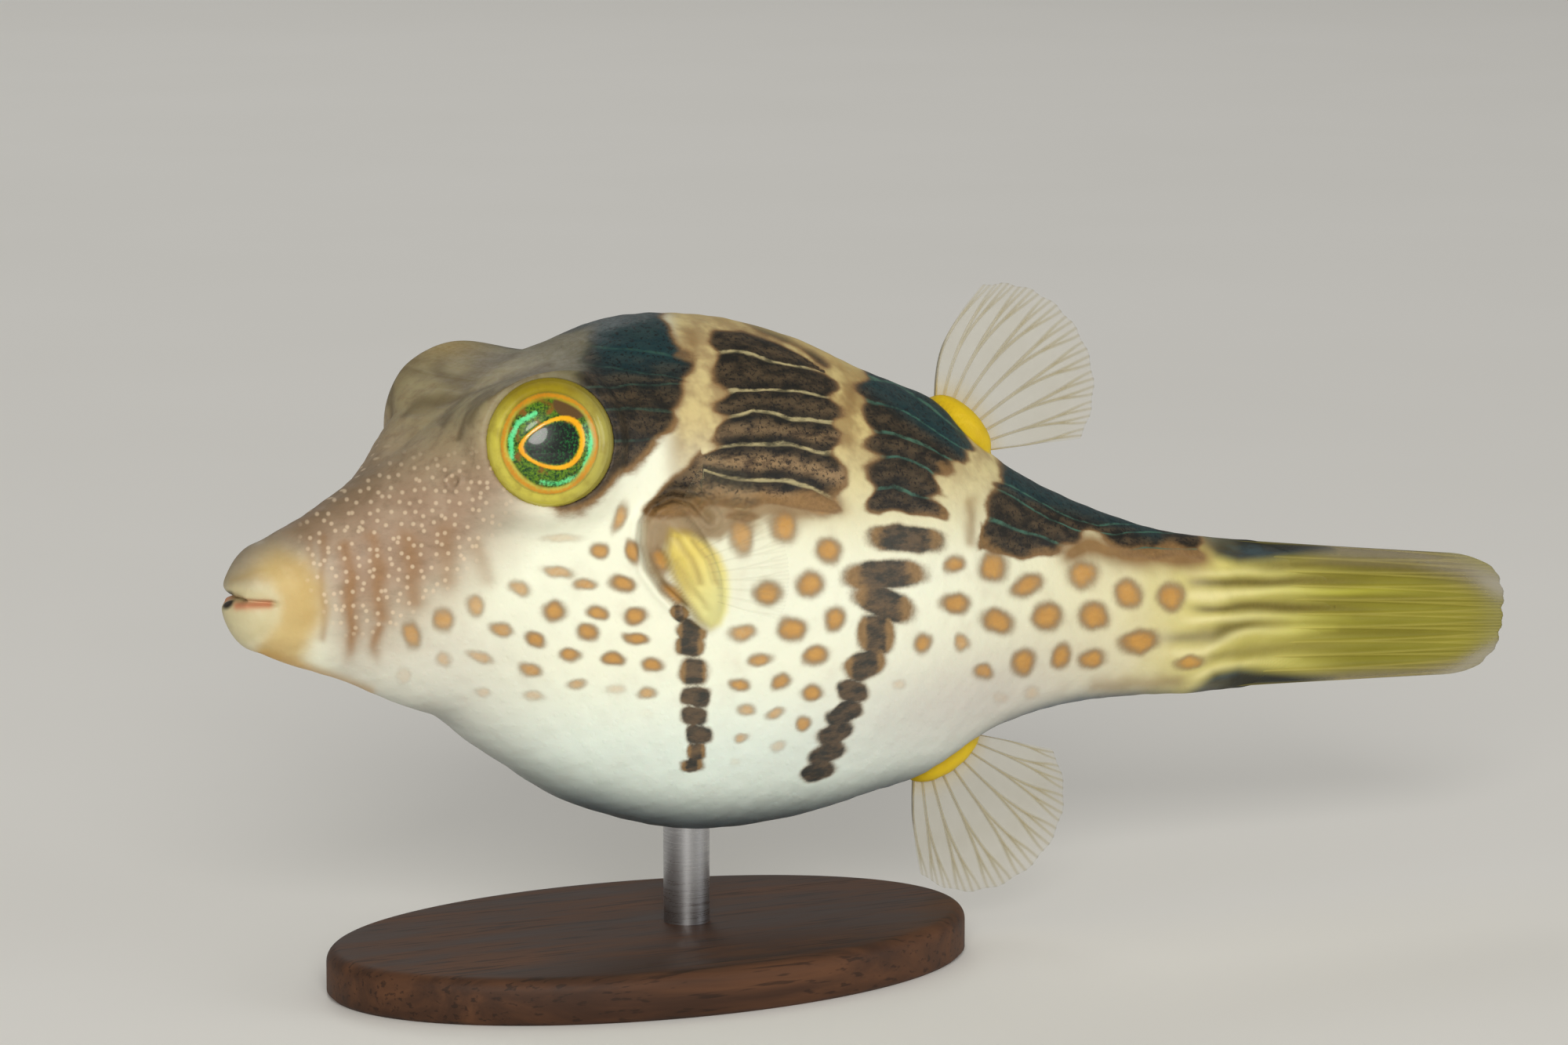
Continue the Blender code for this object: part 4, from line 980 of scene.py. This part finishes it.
class Shading:
    """A material with one Principled shader, and short ways to wire it. Colours are as on the screen."""

    def __init__(self, name):
        self.material = bpy.data.materials.new(name)
        self.material.use_nodes = True
        self.tree = self.material.node_tree
        self.place = self.node("TexCoord", {}, "Object")

    def put(self, socket, value):
        if isinstance(value, bpy.types.NodeSocket):
            self.tree.links.new(value, socket)
        else:
            socket.default_value = linear(*value) if socket.type == "RGBA" else value

    def node(self, kind, inputs, output=0, **settings):
        """Adds a node and gives one of its outputs. Its inputs are given by name or number."""
        node = self.tree.nodes.new(f"ShaderNode{kind}")
        for setting, value in settings.items():
            setattr(node, setting, value)
        for name, value in inputs.items():
            self.put(node.inputs[name], value)
        return node.outputs[output]

    def mark(self, name, output="Fac"):
        return self.node("Attribute", {}, output, attribute_name=name)

    def maths(self, operation, *values, clamp=False):
        return self.node("Math", dict(enumerate(values)), operation=operation, use_clamp=clamp)

    def times(self, first, second):
        return self.maths("MULTIPLY", first, second)

    def step(self, *ranges):
        """The smooth step of (value, low, high), from 0 to 1 or from and to two more numbers."""
        return self.node("MapRange", dict(enumerate(ranges)), interpolation_type="SMOOTHSTEP")

    def mix(self, share, first, second):
        return self.node("Mix", {"Factor": share, 6: first, 7: second}, 2, data_type="RGBA")

    def broken(self, mark, noise, amount, low=0.2, high=0.8):
        """A mark with a rougher edge."""
        shaken = self.maths("MULTIPLY_ADD", self.maths("SUBTRACT", noise, 0.5), amount, self.mark(mark))
        return self.step(shaken, low, high)

    def lay(self, under, *layers):
        """Lays colours over one: each is (mark, share, colour), or has mix's three values for a colour."""
        for mark, share, *tint in layers:
            cover = self.times(self.mark(mark) if isinstance(mark, str) else mark, share)
            under = self.mix(cover, under, self.mix(*tint) if len(tint) == 3 else tint[0])
        return under

    def stretched(self, *scale):
        return self.node("Mapping", {"Vector": self.place, "Scale": scale})

    def noise(self, size_mm, detail=3.0, roughness=0.55, vector=None, distortion=0.0):
        return self.node("TexNoise", {
            "Vector": vector or self.place, "Scale": 1 / (size_mm * MM), "Detail": detail,
            "Roughness": roughness, "Distortion": distortion,
        }, "Fac")

    def dots(self, spacing, low, high, vector):
        """1 in small round dots about spacing apart, and 0 between, on the flat place that vector gives."""
        inputs = {"Vector": vector, "Scale": 1 / spacing, "Randomness": 0.85}
        return self.step(self.node("TexVoronoi", inputs, "Distance", voronoi_dimensions="2D"), high, low)

    def bump(self, height, strength, distance_mm, **under):
        inputs = {"Strength": strength, "Distance": distance_mm * MM, "Height": height}
        return self.node("Bump", inputs | under)

    def finish(self, **values):
        for name, value in values.items():
            self.put(self.tree.nodes["Principled BSDF"].inputs[name.replace("_", " ")], value)
        return self.material


def tail_colour(s, streaky, fine):
    """The yellow-olive of the tail fin and of the skin that runs on to it."""
    return s.lay(
        s.mix(streaky, (220, 209, 128), (184, 172, 74)),
        ("end", 0.9, streaky, (138, 132, 20), (100, 96, 10)),
        ("cream", 0.8, s.mark("end"), (240, 230, 168), (196, 192, 60)),
        ("olive", 0.85, fine, (108, 88, 20), (74, 68, 12)),
        ("clear", 0.85, fine, (128, 112, 78), (98, 86, 60)),
        ("dark", 0.96, s.step(streaky, 0.45, 0.7), (10, 16, 26), (18, 46, 60)),
    )


def skin_material():
    s = Shading("toby_skin")
    grain = s.noise(0.3, 4, 0.6)
    mottle = s.noise(2.2)
    clouds = s.noise(0.8, 4, 0.65, s.stretched(0.55, 1, 1.3))
    streaky = s.noise(1.2, 4, 0.6, s.stretched(0.14, 1, 1))

    pinkish = s.mix(mottle, (172, 146, 122), (146, 120, 98))
    olive_grey = s.mix(mottle, (162, 150, 110), (138, 127, 92))
    taupe = s.lay(
        s.mix(s.mark("high"), pinkish, olive_grey),
        (s.step(clouds, 0.42, 0.72), 0.5, (118, 96, 72)),
        ("crown", 0.85, mottle, (102, 96, 66), (68, 64, 44)),
    )
    in_taupe = s.maths("MULTIPLY_ADD", s.maths("SUBTRACT", mottle, 0.5), 0.2, s.mark("taupe"), clamp=True)
    skin = s.lay(
        s.mix(s.noise(9, 2, 0.5), (242, 242, 218), (233, 237, 217)),
        (s.step(mottle, 0.5, 0.85), 0.3, (224, 216, 196)),
        ("rear", 0.85, mottle, (222, 212, 158), (196, 178, 112)),
        ("cool", 0.8, (224, 238, 230)),
        ("upper", 0.88, s.step(mottle, 0.38, 0.62), (204, 182, 118), (158, 128, 72)),
        ("mauve", 0.65, (188, 178, 174)),
        # Painted shade on the skin that faces down
        ("under", 0.9, (72, 86, 98)),
        (in_taupe, 0.98, taupe),
        ("snout_bar", 0.85, grain, (164, 124, 82), (130, 96, 62)),
        ("streak", 0.65, (88, 74, 48)),
        ("far_orbit", 0.8, grain, (170, 142, 36), (124, 100, 34)),
        (s.broken("ochre", mottle, 0.3, 0, 1), 0.85, mottle, (208, 178, 102), (182, 148, 80)),
        # Painted shade along the snout's top
        ("snout_top_shade", 0.55, (104, 86, 58)),
        ("chin", 0.6, (204, 150, 40)),
        ("lip", 0.85, mottle, (206, 194, 150), (186, 174, 130)),
        ("mouth", 0.75, (196, 112, 78)),
        # Painted shade at the mouth's front opening
        ("mouth_notch_shade", 1, (38, 30, 24)),
        ("tail", 1, tail_colour(s, streaky, grain)),
        ("shade", 0.9, mottle, (158, 124, 78), (116, 88, 50)),
    )

    core = s.broken("core", grain, 0.5, 0.1, 0.95)
    spot_rim = s.mix(grain, (148, 120, 84), (116, 92, 62))
    spot_middle = s.mix(clouds, (208, 156, 74), (170, 118, 50))
    brown = s.mix(grain, (162, 124, 74), (116, 88, 52))
    bar = s.broken("bar", grain, 0.3, 0.05, 0.9)
    bar_edge = s.mix(grain, (138, 110, 76), (104, 80, 54))
    bar_dark = s.lay(
        s.mix(s.step(clouds, 0.35, 0.65), (28, 24, 22), (86, 66, 46)),
        (s.broken("warm", clouds, 1.1, 0.2, 1), 0.85, brown),
    )

    # The row mark is a whole number on each thin line of a saddle
    row = s.maths("ADD", s.mark("row"), s.maths("MULTIPLY_ADD", clouds, 0.16, -0.08))
    from_line = s.maths("ABSOLUTE", s.maths("SUBTRACT", row, s.maths("ROUND", row)))
    between = s.times(s.step(from_line, 0.16, 0.46), s.maths("MULTIPLY_ADD", s.mark("brown"), 0.86, 0.14))
    thin = s.step(s.maths("MULTIPLY_ADD", mottle, -0.1, s.maths("ADD", from_line, 0.05)), 0.085, 0.015)
    thin = s.times(thin, s.step(clouds, 0.34, 0.62, 0.2, 1))
    thin = s.times(thin, s.step(s.mark("first"), 1, 0, 0.4, 1))
    cream_line = s.mix(mottle, (214, 196, 144), (158, 150, 112))
    green_line = s.mix(mottle, (26, 82, 78), (84, 124, 100))
    saddle = s.broken("saddle", clouds, 0.4, 0, 1)
    saddle_edge = s.lay(s.mix(grain, (148, 116, 76), (110, 84, 54)), ("crown", 1, (62, 64, 48)))
    saddle_inside = s.lay(
        s.mix(s.step(clouds, 0.38, 0.66), (26, 24, 18), (60, 50, 36)),
        (between, 1, s.step(clouds, 0.32, 0.6), (74, 58, 42), (146, 120, 86)),
        (s.broken("blue", mottle, 0.4, 0, 1), 0.85, clouds, (6, 34, 46), (22, 66, 68)),
        (s.step(s.noise(0.22, 2), 0.54, 0.64), 0.75, (16, 14, 15)),
        (s.broken("warm", clouds, 0.9, 0.2, 1), 0.85, brown),
        (thin, 0.85, s.mark("green"), cream_line, green_line),
    )

    pale_dot = s.dots(0.72, 0.09, 0.27, s.mark("plane", "Vector"))
    yellow = s.lay(
        s.mix(mottle, (236, 218, 118), (216, 192, 80)),
        ("lobe_end", 1, (228, 222, 146)),
        ("lobe_fold", 0.5, (150, 122, 56)),
    )
    skin = s.lay(
        skin,
        (s.broken("spot", grain, 0.2, 0, 1), 0.95, core, spot_rim, spot_middle),
        (bar, 0.96, s.step(bar, 0.4, 1), bar_edge, bar_dark),
        (s.step(saddle, 0.05, 0.65), 1, s.step(saddle, 0.4, 1), saddle_edge, saddle_inside),
        ("ridge", 0.75, mottle, (222, 200, 134), (172, 146, 88)),
        (s.times(pale_dot, s.mark("dotted")), 0.55, (226, 204, 174)),
        ("lobe", 0.94, yellow),
        # Painted shadow round the front of the pectoral lobe
        ("lobe_edge_shade", 0.6, (140, 112, 48)),
        ("pad", 1, mottle, (228, 198, 24), (196, 160, 14)),
    )
    bumps = s.maths("ADD", mottle, s.times(pale_dot, 0.3))
    return s.finish(
        Base_Color=skin, Roughness=s.step(grain, 0.3, 0.8, 0.46, 0.6), Specular_IOR_Level=0.25,
        Subsurface_Weight=0.05, Subsurface_Scale=0.0006, Coat_Weight=0.04, Coat_Roughness=0.3,
        Normal=s.bump(bumps, 0.25, 0.12, Normal=s.bump(grain, 0.3, 0.05)),
    )


def eye_material():
    s = Shading("toby_eye")
    grain, mottle = s.noise(0.16, 3, 0.6), s.noise(0.9)
    iris = s.lay(
        s.mix(s.step(grain, 0.35, 0.65), (14, 60, 8), (92, 132, 4)),
        (s.step(mottle, 0.5, 0.7), 1, (128, 84, 8)),
        (s.broken("mint", grain, 1.2, 0.3, 1), 1, mottle, (50, 214, 120), (130, 236, 170)),
        (s.broken("cap", grain, 0.4), 1, (92, 66, 30)),
    )
    # The green in the pupil is a painted reflection, brighter towards the rear
    pupil_green_reflection = s.mix(s.mark("rear"), (6, 72, 30), (24, 160, 56))
    look = s.lay(
        s.mix(s.mark("top"), (198, 188, 72), (150, 132, 2)),
        ("rear", 0.5, (142, 136, 76)),
        (s.step(mottle, 0.4, 0.75), 0.45, (128, 106, 18)),
        # Painted shade: a darker band at the eyeball's outer edge, where it meets the skin
        (s.step(s.mark("radial"), 0.95, 1.05), 1, (118, 106, 36)),
        ("iris", 1, iris),
        (s.broken("orange", grain, 1.2, 0.3, 1.1), 0.85, mottle, (226, 158, 10), (196, 110, 14)),
        (s.broken("gold", grain, 0.5, 0.3, 0.9), 1, mottle, (250, 196, 0), (232, 140, 0)),
        ("pupil", 1, s.step(grain, 0.45, 0.7), (2, 16, 10), pupil_green_reflection),
    )
    return s.finish(
        Base_Color=look, Roughness=s.step(grain, 0.2, 0.8, 0.26, 0.4), Specular_IOR_Level=0.3,
        Coat_Weight=0.45, Coat_Roughness=0.06, Normal=s.bump(grain, 0.12, 0.03),
    )


def fin_material(name, web_alpha, ray_alpha, root_alpha):
    s = Shading(name)
    grain, broad = s.noise(0.5, 3, 0.6), s.noise(2.5, 2, 0.5)
    root = s.step(s.mark("along"), 0.3, 0)
    look = s.lay(
        s.mix(broad, (206, 200, 172), (178, 170, 140)),
        ("ray", 1, grain, (172, 160, 118), (142, 130, 92)),
        (root, 0.7, (206, 172, 30)),
    )
    alpha = s.maths("MULTIPLY_ADD", s.mark("ray"), ray_alpha - web_alpha, web_alpha)
    alpha = s.maths("ADD", alpha, s.times(root, root_alpha), clamp=True)
    cloudy = s.times(s.maths("SUBTRACT", broad, 0.5), 0.75 * web_alpha)
    alpha = s.times(s.maths("ADD", alpha, cloudy, clamp=True), s.step(s.mark("along"), 0.75, 1, 1, 0.55))
    return s.finish(Base_Color=look, Alpha=alpha, Roughness=0.32, Normal=s.bump(grain, 0.2, 0.04))


def tail_fin_material():
    s = Shading("toby_tail_fin")
    streaky = s.noise(1.2, 4, 0.6, s.stretched(0.14, 1, 1))
    grain = s.noise(0.35, 4, 0.6)
    alpha = s.maths("SUBTRACT", 0.97, s.times(s.mark("clear"), 0.35))
    alpha = s.maths("SUBTRACT", alpha, s.times(s.step(s.mark("along"), 0.85, 1), 0.25), clamp=True)
    return s.finish(
        Base_Color=s.lay(tail_colour(s, streaky, grain), ("ray", 0.22, (206, 190, 96))), Alpha=alpha,
        Roughness=s.step(grain, 0.3, 0.8, 0.42, 0.56), Specular_IOR_Level=0.25,
        Normal=s.bump(s.maths("ADD", grain, streaky), 0.3, 0.05),
    )


def wood_material():
    s = Shading("stand_wood")
    figure = s.noise(3.2, 5, 0.6, s.stretched(0.16, 1, 1), 0.6)
    pores = s.noise(0.35, 2, 0.6, s.stretched(0.07, 1, 1))
    look = s.mix(s.step(figure, 0.35, 0.7), (58, 37, 25), (92, 60, 39))
    return s.finish(
        Base_Color=s.lay(look, (s.step(pores, 0.56, 0.66), 0.65, (34, 22, 15))),
        Roughness=s.step(figure, 0.3, 0.7, 0.56, 0.7), Specular_IOR_Level=0.25,
        Normal=s.bump(pores, 0.2, 0.05),
    )


def steel_material():
    s = Shading("stand_steel")
    brushed = s.noise(0.25, 3, 0.6, s.stretched(0.1, 0.1, 3))
    return s.finish(
        Base_Color=s.mix(brushed, (188, 188, 190), (160, 160, 164)), Metallic=1,
        Roughness=s.step(brushed, 0.2, 0.8, 0.22, 0.38), Normal=s.bump(brushed, 0.15, 0.02),
    )


# The room


def make_floor():
    mesh = bpy.data.meshes.new("floor")
    turn = np.linspace(0, 2 * math.pi, FLOOR_CORNERS, endpoint=False)
    edge = [(FLOOR_RADIUS * math.cos(a), FLOOR_RADIUS * math.sin(a), 0) for a in turn]
    mesh.from_pydata(edge, [], [tuple(range(FLOOR_CORNERS))])
    s = Shading("pale_floor")
    mesh.materials.append(s.finish(
        Base_Color=s.mix(s.noise(60, 2), (243, 242, 239), (248, 247, 245)), Roughness=0.7
    ))
    add_object("floor", mesh)


def area_light(name, place, size, watts, tint):
    light = bpy.data.lights.new(name, "AREA")
    light.shape, light.size, light.energy, light.color = "DISK", size, watts, tint
    lamp = add_object(name, light)
    lamp.location = place
    lamp.rotation_euler = (Vector(LIT_POINT) - Vector(place)).to_track_quat("-Z", "Y").to_euler()


def make_lights():
    area_light("key", (-0.45, -0.95, 0.42), 0.5, 8.2, (1, 0.972, 0.915))
    area_light("fill", (0.7, -0.65, 0.18), 0.6, 2, (0.97, 0.98, 1))
    area_light("rim", (0.2, 0.8, 0.6), 0.4, 0.8, (1, 1, 0.98))
    world = bpy.data.worlds.new("room")
    world.use_nodes = True
    background = world.node_tree.nodes["Background"].inputs
    background["Color"].default_value = (0.91, 0.89, 0.835, 1)
    background["Strength"].default_value = 0.36
    bpy.context.scene.world = world


def make_camera():
    camera = bpy.data.cameras.new("photo_camera")
    camera.sensor_width = SENSOR_WIDTH
    camera.lens = FOCAL_PIXELS / PHOTO_SIZE[0] * SENSOR_WIDTH
    camera.clip_start, camera.clip_end = 0.01, 50
    across = (PHOTO_SIZE[0] / 2 - AXIS_PIXEL[0]) / FOCAL_PIXELS
    rise = (AXIS_PIXEL[1] - PHOTO_SIZE[1] / 2) / FOCAL_PIXELS
    aim = Vector(-CAMERA_BACK + CAMERA_RIGHT * across + CAMERA_UP * rise)
    holder = add_object("photo_camera", camera)
    holder.location = CAMERA_PLACE
    holder.rotation_euler = aim.to_track_quat("-Z", "Y").to_euler()
    bpy.context.scene.camera = holder


make_skin(skin_material())
eye_look = eye_material()
fan_look = fin_material("toby_fan_fins", 0.16, 0.6, 0.25)
pectoral_look = fin_material("toby_pectoral_fins", 0.02, 0.085, -0.065)
for which_side in (-1, 1):
    make_eye(which_side, eye_look)
    make_pectoral(which_side, pectoral_look)
for fin_name in FAN_FINS:
    make_fan_fin(fin_name, fan_look)
make_tail_fin(tail_fin_material())
make_base(wood_material())
make_rod(steel_material())
make_floor()
make_lights()
make_camera()
bpy.context.scene.view_settings.view_transform = "Standard"
